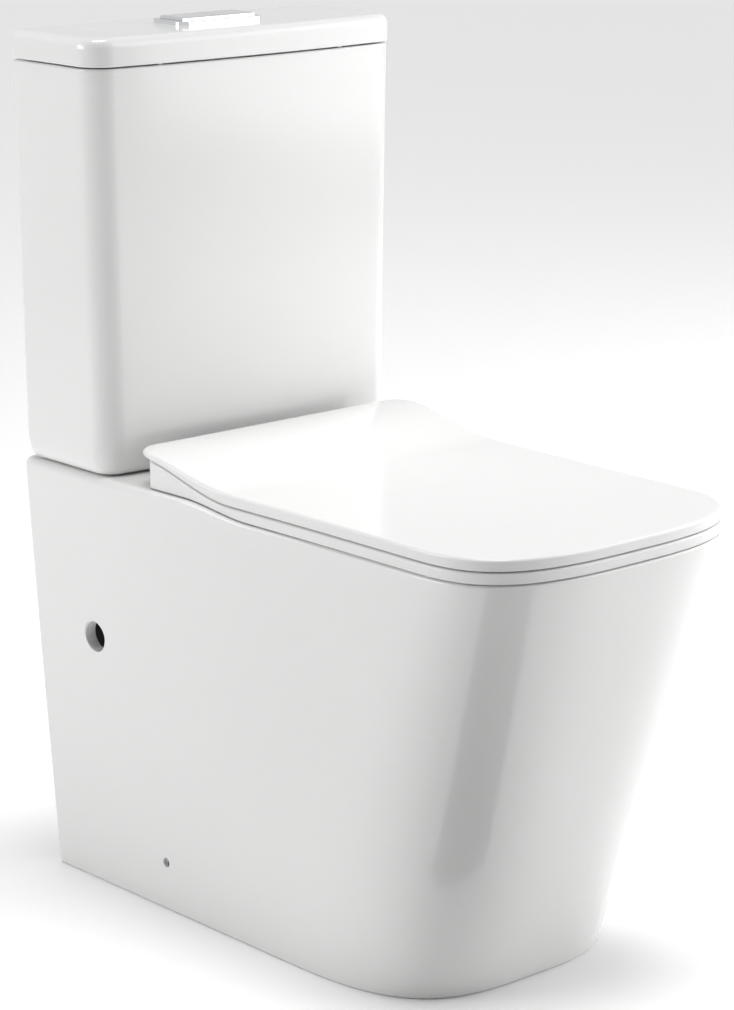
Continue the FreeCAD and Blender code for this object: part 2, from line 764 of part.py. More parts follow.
def make_button(side, name):
    """One button plate on its stem, with its return spring and the rod that reaches the valve."""
    d = button_from_wall
    high = lid_top + button_proud
    low = high - button_thick
    plate = block(play, button_width, d - button_depth / 2, d + button_depth / 2, low, high)
    rim = [e for e in plate.Edges if min(v.Z for v in e.Vertexes) > high - 0.01]
    plate = plate.makeFillet(2.0, rim)
    button = join(plate, rod(stem_radius, stem_x, d, lid_top - stem_length, low + 1))
    foot = plunger_high + 2 * contact
    push_rod = join(
        rod(rod_radius, stem_x, d, foot, lid_top - stem_length),
        rod(rod_radius + 1.5, stem_x, d, foot, foot + 5),
    )
    floor = lid_top - pocket_depth + pocket_wall
    spring = ring(stem_radius + 2.2, stem_radius + slip, stem_x, d, floor, low)
    shapes = {"flush_button": button, "push_rod": push_rod, "button_spring": spring}
    for part_name, shape in shapes.items():
        save(f"{name}_{part_name}", shape if side > 0 else mirrored(shape))


# ---- Seat ring, lid and hinges


def seat_slice(low_shift, high_shift, upper=False):
    """A slice between two swept levels: pan top to ring top, or with upper, ring top to lid top."""
    sweep = (seat_sweep_start, seat_sweep_end)
    low = (deck_height + seat_gap, rim_height + seat_gap, sweep_start, sweep_end)
    high = (ring_back_high, ring_front_high, *sweep)
    if upper:
        low = (ring_back_high + seat_gap, ring_front_high + seat_gap, *sweep)
        high = (cover_back_high, cover_front_high, *sweep)
    low = (low[0] + low_shift, low[1] + low_shift, low[2], low[3])
    high = (high[0] + high_shift, high[1] + high_shift, high[2], high[3])
    return slab(low, high)


def seat_prism(inset=0.0):
    return Part.Face(seat_outline(rim_height - 40, inset)).extrude(V(0, 0, 100))


def hole_prism(grow=0.0):
    centre = (hole_back + hole_front) / 2
    half = (hole_front - hole_back) / 2
    outline = oval(rim_height - 50, centre, half + grow, hole_half + grow, hole_power)
    return Part.Face(outline).extrude(V(0, 0, 120))


def behind(d):
    """Everything between the wall and the distance d."""
    return block(-300, 300, -20, d, -10, 900)


def barrel(x0, x1, radius):
    """A cylinder on the hinge axis."""
    return cross_rod(radius, x0, x1, hinge_from_wall, hinge_height)


def ring_ear():
    """Where the ring's ears lie along the axis: inboard of each post."""
    end = hinge_x - hinge_half - play
    return end - ear_length, end


def lid_ear():
    """Where the lid's ears lie along the axis: outboard of each post."""
    start = hinge_x + hinge_half + play
    return start, start + ear_length


def ring_lug(x0, x1):
    web_top = ring_back_high - 2
    web_low = hinge_height - hinge_radius
    web = block(x0, x1, hinge_from_wall, hinge_from_wall + hinge_radius + 4, web_low, web_top)
    return barrel(x0, x1, hinge_radius).fuse(web)


def lid_lug(x0, x1):
    reach = hinge_radius - 1
    web_top = cover_back_high - seat_skin / 2
    web = block(x0, x1, hinge_from_wall - reach, hinge_from_wall + reach, hinge_height, web_top)
    return barrel(x0, x1, hinge_radius).fuse(web)


def make_seat_ring():
    shell = seat_prism().common(seat_slice(0, 0))
    channel = less(seat_prism(seat_wall), hole_prism(seat_wall), behind(hinge_from_wall + 24))
    channel = channel.common(seat_slice(-2, -seat_skin))
    shell = less(shell, hole_prism(), channel, behind(hinge_from_wall + 3))
    inner, outer = ring_ear()
    _, lid_end = lid_ear()
    room = hinge_from_wall + hinge_radius + 2.5
    notch = block(outer, lid_end + damper_length + play, 0, room, 0, 900)
    shell = less(shell, *both(notch))
    damper_end = -inner + damper_length
    shell = join(shell, *both(ring_lug(inner, outer)), ring_lug(-inner, damper_end))
    bore = barrel(inner - 1, outer + 1, hinge_pin + running)
    save("seat_ring", less(shell, *both(bore), barrel(-inner, damper_end - 2, damper_radius)))
    save("ring_damper", barrel(-inner, damper_end - 2, damper_radius))
    pads = []
    for d in (ring_pad_back, ring_pad_front):
        pads += both(rod(6.0, pad_x, d, rim_height + contact, ring_front_high - seat_skin))
    save("seat_ring_bumpers", *pads)


def make_seat_lid():
    shell = seat_prism().common(seat_slice(0, 0, upper=True))
    hollow = seat_prism(seat_wall).common(seat_slice(-3, -seat_skin, upper=True))
    gap = hinge_half + play
    room = hinge_from_wall - hinge_radius - 1
    notch = block(hinge_x - gap, hinge_x + gap, 0, room, 0, cover_back_high - seat_skin)
    shell = less(shell, hollow, *both(notch))
    inner, outer = lid_ear()
    end = outer + damper_length
    shell = join(shell, *both(lid_lug(inner, outer)), lid_lug(outer, end))
    bore = barrel(inner - 1, outer, hinge_pin + running)
    save("seat_lid", less(shell, *both(bore), barrel(outer, end - 2, damper_radius)))
    save("lid_damper", barrel(outer, end - 2, damper_radius))
    pads = []
    for d in (lid_pad_back, lid_pad_front):
        pads += both(rod(5.0, pad_x, d, ring_front_high + contact, cover_front_high - seat_skin))
    save("seat_lid_bumpers", *pads)


def make_hinges():
    d = hinge_from_wall
    x = hinge_x
    under = deck_height - deck_thick
    x0, x1 = x - hinge_half, x + hinge_half
    upright = block(x0, x1, d - 5, d + hinge_radius, deck_height, hinge_height)
    post = join(barrel(x0, x1, hinge_radius), upright)
    tapped = rod(stud_radius, x, d, deck_height - 5, deck_height + 12)
    save("hinge_posts", *both(less(post, barrel(x0 - 5, x1 + 5, hinge_pin), tapped)))
    inner, _ = ring_ear()
    _, outer = lid_ear()
    save("hinge_pins", *both(barrel(inner + 1, outer - 1, hinge_pin)))
    save("hinge_studs", *both(rod(stud_radius, x, d, under - 30, deck_height + 12)))
    save("hinge_bushes", *both(ring(hinge_hole, stud_radius, x, d, under, deck_height)))
    save("hinge_washers", *both(ring(11, stud_radius, x, d, under - 2, under)))
    save("hinge_wing_nuts", *both(wing_nut(14, 13, stud_radius, x, d, under - 2)))


# ---- Floor fixings


def make_floor_fixings():
    """Two angle brackets that screw to the floor, and the screws that hold the pan to them."""
    d = fix_from_wall
    face = floor_half - china - 2
    plate = block(face - 8, face, d - 15, d + 15, 0, fix_height + 16)
    foot = block(face - bracket_foot, face - 4, d - 15, d + 15, 0, bracket_thick)
    hole = rod(bracket_hole, face - bracket_hole_in, d, -5, 20)
    tap = cross_rod(2.5, face - 20, face + 5, d, fix_height)
    save("floor_brackets", *both(less(join(plate, foot), hole, tap)))
    seat = screw_head_x()
    head = cross_rod(fix_radius - 0.3, seat, seat + 4, d, fix_height)
    shank = cross_rod(2.5, face - 16, seat, d, fix_height)
    slot = block(seat + 2.5, seat + 8, d - 0.7, d + 0.7, fix_height - 6, fix_height + 6)
    save("side_screws", *both(less(join(head, shank), slot)))


save("pan", make_pan())
save("tank", make_tank())
save("tank_lid", make_tank_lid())
make_lid_buffers()
make_flush_valve()
make_tower()
make_canister()
make_fill_valve()
make_float()
make_lever()
make_refill_tube()
make_tank_bolts()
make_buttons()
make_seat_ring()
make_seat_lid()
make_hinges()
make_floor_fixings()
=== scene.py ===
# %% [markdown]
# # A close coupled toilet
# The object is a china pan that stands against a wall, with a china cistern bolted on its rear shelf,
# a hinged plastic ring and lid, and the flush fittings inside the cistern. The engineering model is
# loaded first. It fixes every size and joint, and everything built below is laid over it in place.

# %% Load the engineering model
import json

import bmesh
import bpy
import numpy as np
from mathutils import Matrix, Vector

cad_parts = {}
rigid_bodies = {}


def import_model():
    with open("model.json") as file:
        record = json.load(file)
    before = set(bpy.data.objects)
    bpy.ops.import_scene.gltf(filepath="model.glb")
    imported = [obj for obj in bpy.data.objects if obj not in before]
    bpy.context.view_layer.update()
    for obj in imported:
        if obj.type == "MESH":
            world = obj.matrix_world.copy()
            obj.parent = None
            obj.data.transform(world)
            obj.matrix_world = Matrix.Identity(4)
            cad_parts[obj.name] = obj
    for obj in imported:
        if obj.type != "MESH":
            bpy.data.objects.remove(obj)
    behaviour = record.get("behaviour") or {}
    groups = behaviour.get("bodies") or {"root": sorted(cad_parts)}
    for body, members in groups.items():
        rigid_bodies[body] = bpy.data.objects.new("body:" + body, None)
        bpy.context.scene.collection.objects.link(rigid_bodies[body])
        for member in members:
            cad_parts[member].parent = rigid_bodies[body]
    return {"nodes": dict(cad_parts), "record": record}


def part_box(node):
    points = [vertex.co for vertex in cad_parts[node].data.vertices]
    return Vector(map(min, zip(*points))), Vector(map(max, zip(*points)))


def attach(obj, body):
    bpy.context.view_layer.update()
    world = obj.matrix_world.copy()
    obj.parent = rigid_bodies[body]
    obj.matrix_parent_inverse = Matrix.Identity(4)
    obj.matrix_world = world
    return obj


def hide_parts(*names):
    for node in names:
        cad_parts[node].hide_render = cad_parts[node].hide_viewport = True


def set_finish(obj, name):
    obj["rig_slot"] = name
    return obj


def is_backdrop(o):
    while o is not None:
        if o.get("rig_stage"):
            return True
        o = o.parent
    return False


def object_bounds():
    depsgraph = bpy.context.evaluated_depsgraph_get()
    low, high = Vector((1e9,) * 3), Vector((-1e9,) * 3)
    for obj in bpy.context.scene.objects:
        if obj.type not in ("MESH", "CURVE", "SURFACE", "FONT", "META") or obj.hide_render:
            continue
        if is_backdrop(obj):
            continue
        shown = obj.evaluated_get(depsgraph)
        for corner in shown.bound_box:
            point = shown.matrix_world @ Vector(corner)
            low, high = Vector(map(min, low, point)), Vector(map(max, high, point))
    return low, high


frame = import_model()
cad_low, cad_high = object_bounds()
nodes = frame["nodes"]
print("CAD box:", [round(v, 4) for v in cad_low], [round(v, 4) for v in cad_high])

# %% [markdown]
# ## Sizes
# Potters draw in millimetres, measured forward from the wall, so the sizes below are written that way:
# x across, d forward from the wall, z up. One function turns them into the scene's metres. The outer
# sizes come from the engineering model's boxes, and the rest are this object's own working sizes.

# %% Sizes in millimetres
MM = 0.001


def reach(node, axis, end):
    """One face of a node's box, in millimetres."""
    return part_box(node)[end][axis] / MM


wall_y = reach("pan", 1, 1)
depth = reach("pan", 1, 1) - reach("pan", 1, 0)
shelf_height = reach("pan", 2, 1)
rim_height = 417.0
tank_top = reach("tank", 2, 1)
cover_top = reach("tank_lid", 2, 1)
shelf_half, rim_half, foot_half = 178.5, 164.0, 148.7
foot_depth, rim_straight, foot_straight = 526.0, 534.0, 338.0
drop_start, drop_end = 230.0, 320.0
china = 12.0
hinge_d, hinge_z, hinge_x = 171.0, 446.0, 77.5
valve_d, inlet_x, bolt_x, bolt_hole = 62.0, -115.0, 80.0, 5.5
access_d, access_z, screw_d, screw_z = 91.0, 261.0, 177.0, 50.0
button_d = 66.0
print("depth", round(depth, 1), "shelf", round(shelf_height, 1), "cistern", round(tank_top, 1))

# %% [markdown]
# ## Three small tools of calculation
# `ease` is the S-shaped curve that a modeller uses wherever one level flows into another. `mix` slides
# between two values. `place` turns workshop millimetres into scene metres.

# %% Ease, mix and place


def ease(t):
    """0 to 1 with level ends: three t squared less two t cubed."""
    t = np.clip(t, 0, 1)
    return t * t * (3 - 2 * t)


def mix(a, b, t):
    """a plus the share t of the way to b."""
    return a + (b - a) * t


def place(x, d, z):
    """Stacks x, d and z as points in metres, where y is the wall's y less d."""
    x, d, z = np.broadcast_arrays(x, d, z)
    return np.stack([x, wall_y - d, z], axis=-1) * MM


print("halfway through an ease:", float(ease(np.array(0.5))))

# %% [markdown]
# ## From a grid of points to a mesh
# Every surface here is a grid: rows along a profile, columns round an outline. A grid whose columns
# close on themselves is a tube, and a fan of triangles at each end makes it a solid. Joined corners are
# merged and the faces are then turned outwards, so a glossy finish shades without a seam.

# %% Grid to mesh


def grid_faces(rows, cols, wrap_rows=False, wrap_cols=True):
    """The four corners of every cell: each point, the next in its row, and the two above them."""
    r = np.arange(rows if wrap_rows else rows - 1)[:, None]
    c = np.arange(cols if wrap_cols else cols - 1)[None, :]
    r2, c2 = (r + 1) % rows, (c + 1) % cols
    corners = np.broadcast_arrays(r * cols + c, r * cols + c2, r2 * cols + c2, r2 * cols + c)
    return np.stack(corners, axis=-1).reshape(-1, 4)


def solid(points, wrap_rows=False, caps=True):
    """Vertices and faces of a tube of closed loops, with a fan at each open end."""
    rows, cols, _ = points.shape
    verts = points.reshape(-1, 3)
    faces = grid_faces(rows, cols, wrap_rows).tolist()
    if caps and not wrap_rows:
        ends = np.stack([points[0].mean(axis=0), points[-1].mean(axis=0)])
        ring = np.arange(cols)
        nxt = (ring + 1) % cols
        first = np.stack([nxt, ring, np.full(cols, len(verts))], axis=-1)
        last = np.stack([ring, nxt, np.full(cols, 1)], axis=-1) + (rows - 1) * cols
        last[:, 2] = len(verts) + 1
        verts = np.concatenate([verts, ends])
        faces += first.tolist() + last.tolist()
    return verts, faces


def make(name, *parts, crease=40, merge=1e-6):
    """One object from any number of (vertices, faces) pairs, smooth except where it turns sharply."""
    verts, faces, start = [], [], 0
    for v, f in parts:
        verts.append(v)
        faces += [[i + start for i in face] for face in f]
        start += len(v)
    mesh = bpy.data.meshes.new(name)
    mesh.from_pydata(np.concatenate(verts).tolist(), [], faces)
    piece = bpy.data.objects.new(name, mesh)
    bpy.context.scene.collection.objects.link(piece)
    tidy(piece, crease, merge)
    return piece


def tidy(piece, crease=40, merge=1e-6):
    """Merges touching corners, turns the faces outwards and marks the sharp edges."""
    bm = bmesh.new()
    bm.from_mesh(piece.data)
    bmesh.ops.remove_doubles(bm, verts=bm.verts, dist=merge)
    bmesh.ops.recalc_face_normals(bm, faces=bm.faces)
    bm.to_mesh(piece.data)
    bm.free()
    piece.data.polygons.foreach_set("use_smooth", np.ones(len(piece.data.polygons), bool))
    piece.data.set_sharp_from_angle(angle=np.radians(crease))


cells = grid_faces(3, 4)
print("a 3 by 4 tube has", len(cells), "cells")

# %% [markdown]
# ## Cutting and joining
# A casting is easiest to think of as full forms added and hollow forms taken away, which is what the
# Boolean modifier does. Each tool is a closed solid. The result is kept and the tools are thrown away.

# %% Boolean helper


def combine(piece, operation, *tools):
    """Adds or takes away each tool in turn and keeps the result in the piece's own mesh."""
    for tool in tools:
        step = piece.modifiers.new("form", "BOOLEAN")
        step.operation, step.object, step.solver = operation, tool, "EXACT"
        bpy.context.view_layer.update()
        done = piece.evaluated_get(bpy.context.evaluated_depsgraph_get())
        mesh = bpy.data.meshes.new_from_object(done)
        piece.modifiers.clear()
        piece.data = mesh
        bpy.data.objects.remove(tool)
    return piece


# %% [markdown]
# ## Turned pieces
# Nozzles, pads, washers, spigots and knobs are all turned: a profile of radius against distance, spun
# about an axis. A rounded corner is a few points of a quarter circle in the profile.

# %% Turned pieces


def turned(profile, centre, axis="z", steps=64):
    """Spins (radius, along) pairs about an axis: radius times cosine and sine of the turn, and along."""
    profile = np.asarray(profile, float)
    a = np.linspace(0, 2 * np.pi, steps, endpoint=False)
    r, h = profile[:, :1], profile[:, 1:]
    u, v, w = r * np.cos(a), r * np.sin(a), h + 0 * a
    x, d, z = {"z": (u, v, w), "x": (w, u, v), "d": (u, w, v)}[axis]
    return solid(place(x + centre[0], d + centre[1], z + centre[2]))


def rounded_rod(radius, low, high, edge, bite=6):
    """The profile of a rod from low to high whose two ends are rounded by edge."""
    a = np.linspace(0, np.pi / 2, bite)
    r = radius - edge + edge * np.sin(a)
    near = np.stack([r, low + edge * (1 - np.cos(a))], axis=-1)
    far = np.stack([r[::-1], high - edge * (1 - np.cos(a[::-1]))], axis=-1)
    return np.concatenate([near, far])


print("a rounded rod's profile has", len(rounded_rod(5, 0, 10, 1)), "points")

# %% [markdown]
# ## The pan's outline
# Seen from above, the pan is two nearly straight sides joined by a squared curve round the front. The
# squared curve is a superellipse. Its points are spaced by their direction from the centre, which keeps
# them even, where the usual sine and cosine form bunches them at the corners. Each height has its own
# outline, because the front leans back towards the floor and the sides draw in.

# %% Side and front of the pan


def shelf_line(d):
    """Height of the pan's top: the shelf at the wall, easing down to the rim."""
    return mix(shelf_height, rim_height, ease((d - drop_start) / (drop_end - drop_start)))


def side_half(d, rise, back=shelf_half):
    """Half width of a side: it narrows along an ease, and flares with height with a slight bow."""
    top = mix(back, rim_half, ease((d - 100) / 340))
    return foot_half + (top - foot_half) * (rise + 0.14 * rise * (1 - rise))


def front_turn(half, straight, front, power, cols):
    """A superellipse from +x round to -x, each point in direction a at the radius where
    |cos a| to the power plus |sin a| to the power is one."""
    a = np.linspace(0, np.pi, cols)
    c, s = np.cos(a), np.sin(a)
    r = (np.abs(c) ** power + np.abs(s) ** power) ** (-1 / power)
    return half * c * r, straight + (front - straight) * s * r


def offset(x, d, amount, closed=True):
    """Moves an outline inwards by amount along its own normal, the tangent turned a quarter turn."""
    if closed:
        tx, td = np.roll(x, -1, -1) - np.roll(x, 1, -1), np.roll(d, -1, -1) - np.roll(d, 1, -1)
    else:
        tx, td = np.gradient(x, axis=-1), np.gradient(d, axis=-1)
    size = np.hypot(tx, td)
    return x - amount * td / size, d + amount * tx / size


def pan_loop(z, inset=0.0, back=0.0, sides=60, nose=110, rear=30):
    """The pan's closed outline at each height in z (one row each): side, front curve, side, wall."""
    z = np.asarray(z, float)
    rise = z / rim_height
    straight, front = mix(foot_straight, rim_straight, rise), mix(foot_depth, depth, rise)
    power = mix(3.3, 3.1, rise)
    s = np.linspace(0, 1, sides)
    side_d = back + (straight - back) * s
    side_x = side_half(side_d, rise)
    nose_x, nose_d = front_turn(side_half(straight, rise), straight, front, power, nose)
    x = np.concatenate([side_x, nose_x[:, 1:-1], -side_x[:, ::-1]], axis=-1)
    d = np.concatenate([side_d, nose_d[:, 1:-1], side_d[:, ::-1]], axis=-1)
    x, d = offset(x, d, inset, closed=False)
    d[:, 0] = d[:, -1] = back
    t = np.linspace(0, 1, rear)[1:-1]
    wall_x = mix(x[:, -1:], x[:, :1], t)
    return np.concatenate([x, wall_x], -1), np.concatenate([d, back + 0 * wall_x], -1)


sample = pan_loop(np.array([[0.0], [rim_height]]))
print("pan outline:", sample[0].shape, "front at the rim", round(float(sample[1].max()), 1))

# %% [markdown]
# ## The pan's outer form and its hollow
# Rows climb from a small rounding at the floor, up the skirt, round the top edge and then inwards over
# the top towards the middle. The top edge is fuller beside the shelf than along the rim, as glaze and
# sponge leave it. The hollow is the same form, set in by the thickness of the china.

# %% Outer form and hollow


def capped_top(x, d, height, rows=40, middle=300.0):
    """Loops that shrink to the point (0, middle), each lying on the height that its d gives."""
    s = np.linspace(1, 0.0, rows + 1)[1:, None]
    cx, cd = x * s, middle + (d - middle) * s
    return place(cx, cd, height(cd))


def pan_form(inset, low, line, foot_edge, top_edge, back=0.0):
    """The pan's solid between low and the height line(d), with rounded lower and upper edges."""
    x1, d1 = pan_loop(np.array([[rim_height]]), inset, back)
    top = line(d1)
    edge = top_edge(d1)
    a = np.linspace(0, np.pi / 2, 7)[:, None]
    rows_z = [low + foot_edge * (1 - np.cos(a)) + 0 * top]
    rows_in = [inset + foot_edge * (1 - np.sin(a)) + 0 * top]
    t = np.linspace(0, 1, 61)[1:-1, None]
    rows_z.append(mix(low + foot_edge, top - edge, t))
    rows_in.append(inset + 0 * t + 0 * top)
    rows_z.append(top - edge + edge * np.sin(a))
    rows_in.append(inset + edge * (1 - np.cos(a)))
    z, set_in = np.concatenate(rows_z), np.concatenate(rows_in)
    cols = x1.shape[1]
    x, d = pan_shape(z, set_in, back, cols)
    wall = place(x, d, z)
    cap = capped_top(x[-1:], d[-1:], line)
    return solid(np.concatenate([wall, cap]))


def pan_shape(z, inset, back, cols):
    """The outline where every point has its own height and inset, column by column."""
    rise = z / rim_height
    straight, front = mix(foot_straight, rim_straight, rise), mix(foot_depth, depth, rise)
    power = mix(3.3, 3.1, rise)
    x, d = np.zeros_like(z), np.zeros_like(z)
    sides, nose = 60, 110
    s = np.linspace(0, 1, sides)
    for part, t in ((slice(0, sides), s), (slice(sides + nose - 2, 2 * sides + nose - 2), s[::-1])):
        d[:, part] = back + (straight[:, part] - back) * t
        x[:, part] = side_half(d[:, part], rise[:, part])
    x[:, sides + nose - 2 : 2 * sides + nose - 2] *= -1
    mid = slice(sides, sides + nose - 2)
    a = np.linspace(0, np.pi, nose)[1:-1]
    r = (np.abs(np.cos(a)) ** power[:, mid] + np.abs(np.sin(a)) ** power[:, mid]) ** (-1 / power[:, mid])
    x[:, mid] = side_half(straight[:, mid], rise[:, mid]) * np.cos(a) * r
    d[:, mid] = straight[:, mid] + (front[:, mid] - straight[:, mid]) * np.sin(a) * r
    strip = slice(0, 2 * sides + nose - 2)
    ox, od = offset(x[:, strip], d[:, strip], inset[:, strip], closed=False)
    x[:, strip], d[:, strip] = ox, od
    d[:, 0] = back
    d[:, strip.stop - 1] = back
    t = np.linspace(0, 1, cols - strip.stop + 2)[1:-1]
    x[:, strip.stop :] = mix(x[:, strip.stop - 1 : strip.stop], x[:, :1], t)
    d[:, strip.stop :] = back
    return x, d


shelf_edge = lambda d: mix(7.5, 3.0, ease((d - 120) / 110))
under_line = lambda d: mix(shelf_height - 15, rim_height - 22, ease((d - 203) / 14))
pan = make("pan_china", pan_form(0.0, 0.0, shelf_line, 2.5, shelf_edge))
hollow = make("hollow", pan_form(china, -8.0, under_line, 1.0, lambda d: 3.0 + 0 * d, back=-8.0))
print("pan faces:", len(pan.data.polygons), "box depth:", round(pan.dimensions.y, 4))

# %% [markdown]
# ## The bowl
# The bowl is a stack of ovals that shrink and move back towards the sump. A table holds one line for
# each oval: height as a share of the bowl's depth, shift forward, length, width and squareness. A smooth
# curve through the table gives every height in between. The mouth flares in a rounded lip.

# %% The bowl's form
bowl_floor, bowl_back, bowl_front = 104.0, 240.0, depth - 40.0
bowl_ovals = np.array([
    [1.03, 0, 1.0, 1.0, 2.8], [0.9, 0, 0.99, 0.99, 2.7], [0.7, -8, 0.94, 0.93, 2.5],
    [0.48, -22, 0.8, 0.79, 2.3], [0.28, -40, 0.58, 0.59, 2.1], [0.12, -58, 0.37, 0.38, 2.0],
    [0.03, -66, 0.25, 0.27, 2.0], [0.0, -68, 0.16, 0.18, 2.0],
])


def through(table, steps):
    """A smooth curve through the table's rows: each stretch is a cubic whose end slopes are half the
    step from the row before to the row after."""
    slope = np.gradient(table, axis=0)
    t = np.linspace(0, len(table) - 1, steps)
    i = np.minimum(t.astype(int), len(table) - 2)
    u = (t - i)[:, None]
    a, b, m, n = table[i], table[i + 1], slope[i], slope[i + 1]
    cube, square = u**3, u**2
    ends = (2 * cube - 3 * square + 1) * a + (3 * square - 2 * cube) * b
    return ends + (cube - 2 * square + u) * m + (cube - square) * n


def bowl_form(grow, lip=0.0, steps=60, cols=120):
    """Ovals with |x| and |d| to the squareness adding to one, grown by the wall and flared by the lip."""
    level, shift, long, wide, power = through(bowl_ovals, steps).T[:, :, None]
    z = bowl_floor + (rim_height - bowl_floor) * level
    z[-1] -= grow
    a = np.linspace(0, 2 * np.pi, cols, endpoint=False)
    r = (np.abs(np.cos(a)) ** power + np.abs(np.sin(a)) ** power) ** (-1 / power)
    middle = (bowl_back + bowl_front) / 2 + shift
    half_x, half_d = (rim_half - 36) * wide + grow, (bowl_front - bowl_back) / 2 * long + grow
    d = middle + half_d * np.sin(a) * r
    under = np.clip(shelf_line(d) - z, 0, lip) if lip else 0
    flare = lip - np.sqrt(np.maximum(lip**2 - (lip - under) ** 2, 0)) if lip else 0
    return solid(place((half_x + flare) * np.cos(a) * r, middle + (half_d + flare) * np.sin(a) * r, z))


print("bowl depth:", rim_height - bowl_floor, "mm")

# %% [markdown]
# ## The waterway behind the bowl
# Water leaves the sump, dips, climbs over a crown and falls to the outlet. The dip holds the water that
# seals the drain. It is a round tube carried along a path of straight runs with rounded bends, once for
# its bore and once with its wall.

# %% The waterway


def rounded_path(points, bend, steps=12):
    """Straight runs joined by curves that start and end bend millimetres from each corner."""
    points = np.asarray(points, float)
    path = [points[:1]]
    t = np.linspace(0, 1, steps)[:, None]
    for before, corner, after in zip(points, points[1:], points[2:]):
        pull = min(bend, 0.48 * np.linalg.norm(corner - before), 0.48 * np.linalg.norm(after - corner))
        near = corner + (before - corner) / np.linalg.norm(before - corner) * pull
        far = corner + (after - corner) / np.linalg.norm(after - corner) * pull
        path.append((1 - t) ** 2 * near + 2 * t * (1 - t) * corner + t**2 * far)
    path.append(points[-1:])
    return np.concatenate(path)


def tube(path, radius, cols=32, normal=(1.0, 0.0, 0.0)):
    """A circle carried along a flat path: each centre plus the radius along the two cross directions."""
    run = np.gradient(path, axis=0)
    run /= np.linalg.norm(run, axis=1, keepdims=True)
    side = np.array(normal) + 0 * run
    up = np.cross(run, side)
    a = np.linspace(0, 2 * np.pi, cols, endpoint=False)[None, :, None]
    rings = path[:, None] + radius * (np.cos(a) * side[:, None] + np.sin(a) * up[:, None])
    return solid(place(rings[..., 0], rings[..., 1], rings[..., 2]))


outlet_end, outlet_z = 130.0, 182.0
sump = (bowl_back + bowl_front) / 2 - 62
trap = [(0, sump, 128), (0, sump - 66, 128), (0, outlet_end + 104, 232), (0, outlet_end + 56, 232),
        (0, outlet_end + 12, outlet_z), (0, outlet_end - 14, outlet_z)]
trap_path = rounded_path(trap, 30)
spigot = rounded_rod(51.0, 12.0, outlet_end + 4, 3.0)
trap_walls = make("trap_walls", tube(trap_path, 37.0))
trap_bore = make("trap_bore", tube(trap_path, 27.0))
outlet_wall = make("outlet_wall", turned(spigot, (0, 0, outlet_z), "d"))
outlet_bore = make("outlet_bore", turned([(45, -20), (45, 12), (42, 15), (42, 126)], (0, 0, outlet_z), "d"))
print("waterway points:", len(trap_path))

# %% [markdown]
# ## Putting the pan together
# The hollow is taken out of the outer form, the bowl, waterway, outlet and flush duct are added, and then
# the inside of each is cut. The same step drills the shelf for the cistern's bolts, the seat's studs and
# the flush inlet, and the sides for the plumber's access and the two floor screws.

# %% Assemble the pan


def drill(x, d, radius, low, high):
    """An upright round tool between two heights."""
    return make("drill", turned([(radius, low), (radius, high)], (x, d, 0)))


def box(x0, x1, d0, d1, z0, z1, edge=3.0, steps=5):
    """A block whose upright edges are rounded: a rounded rectangle carried from z0 to z1."""
    a = np.linspace(0, np.pi / 2, steps)
    turn = np.concatenate([a + k * np.pi / 2 for k in range(4)])
    sx, sd = np.sign(np.cos(turn + 1e-9)), np.sign(np.sin(turn + 1e-9))
    corner_x = np.repeat([x1 - edge, x0 + edge, x0 + edge, x1 - edge], steps)
    corner_d = np.repeat([d1 - edge, d1 - edge, d0 + edge, d0 + edge], steps)
    x, d = corner_x + edge * np.cos(turn), corner_d + edge * np.sin(turn)
    return solid(place(x[None], d[None], np.array([[z0], [z1]])))


duct_low = shelf_height - 15 - 44 - 25
combine(pan, "DIFFERENCE", hollow)
additions = [make("bowl_out", bowl_form(11.0)), trap_walls, outlet_wall,
             make("duct_out", box(-42, 42, valve_d, bowl_back + 20, duct_low, shelf_height - 14)),
             drill(0, valve_d, 56.0, duct_low, shelf_height - 14)]
bowl_hold = pan_form(0.5, 3.0, lambda d: shelf_line(d) - 3, 2.0, shelf_edge)
additions[0] = combine(additions[0], "INTERSECT", make("trim", bowl_hold))
combine(pan, "UNION", *additions)
cuts = [make("bowl_in", bowl_form(0.0, lip=5.0)), trap_bore, outlet_bore,
        drill(0, valve_d, 48.0, shelf_height - 16, 440), drill(0, valve_d, 33.0, duct_low + 11, 430),
        make("duct_in", box(-31, 31, valve_d, bowl_back + 14, duct_low + 11, duct_low + 55)),
        drill(inlet_x, valve_d, 20.0, 380, 440)]
for side in (-1, 1):
    cuts += [drill(side * bolt_x, valve_d, bolt_hole, 380, 440),
             drill(side * hinge_x, hinge_d, 7.0, 380, 440)]
combine(pan, "DIFFERENCE", *cuts)
print("pan after casting:", len(pan.data.polygons), "faces")

# %% Side holes


def side_hole(side, radius, depth_in, d, z, lip):
    """A bore through one side of the skirt, with a softened mouth that follows the side's own width."""
    face = float(side_half(np.array(d), z / rim_height))
    a = np.linspace(0, np.pi / 2, 7)
    mouth = np.stack([radius + lip * (1 - np.cos(a)), face - lip + lip * np.sin(a)], -1)
    profile = np.array([(radius, face - depth_in), *mouth, (radius + lip, face + 15)])
    profile[:, 1] *= side
    return make("hole", turned(profile, (0, d, z), "x"))


for side in (-1, 1):
    combine(pan, "DIFFERENCE", side_hole(side, 15.0, 40.0, access_d, access_z, 1.2),
            side_hole(side, 4.6, 7.0, screw_d, screw_z, 0.8),
            side_hole(side, 3.0, 30.0, screw_d, screw_z, 0.0))
tidy(pan, 32, 1e-5)
print("pan with its holes:", len(pan.data.polygons), "faces")
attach(pan, "base")
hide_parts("pan")
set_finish(pan, "ceramic")

# %% [markdown]
# ## The cistern
# The cistern is a box with soft corners, a front that bows a few millimetres and a foot that rounds in
# above the shelf. Its loop is worked out as straight runs and arcs. One profile goes from the floor
# inside, up the inner wall, over the open edge, down the outside and under the foot.

# %% The cistern's loop


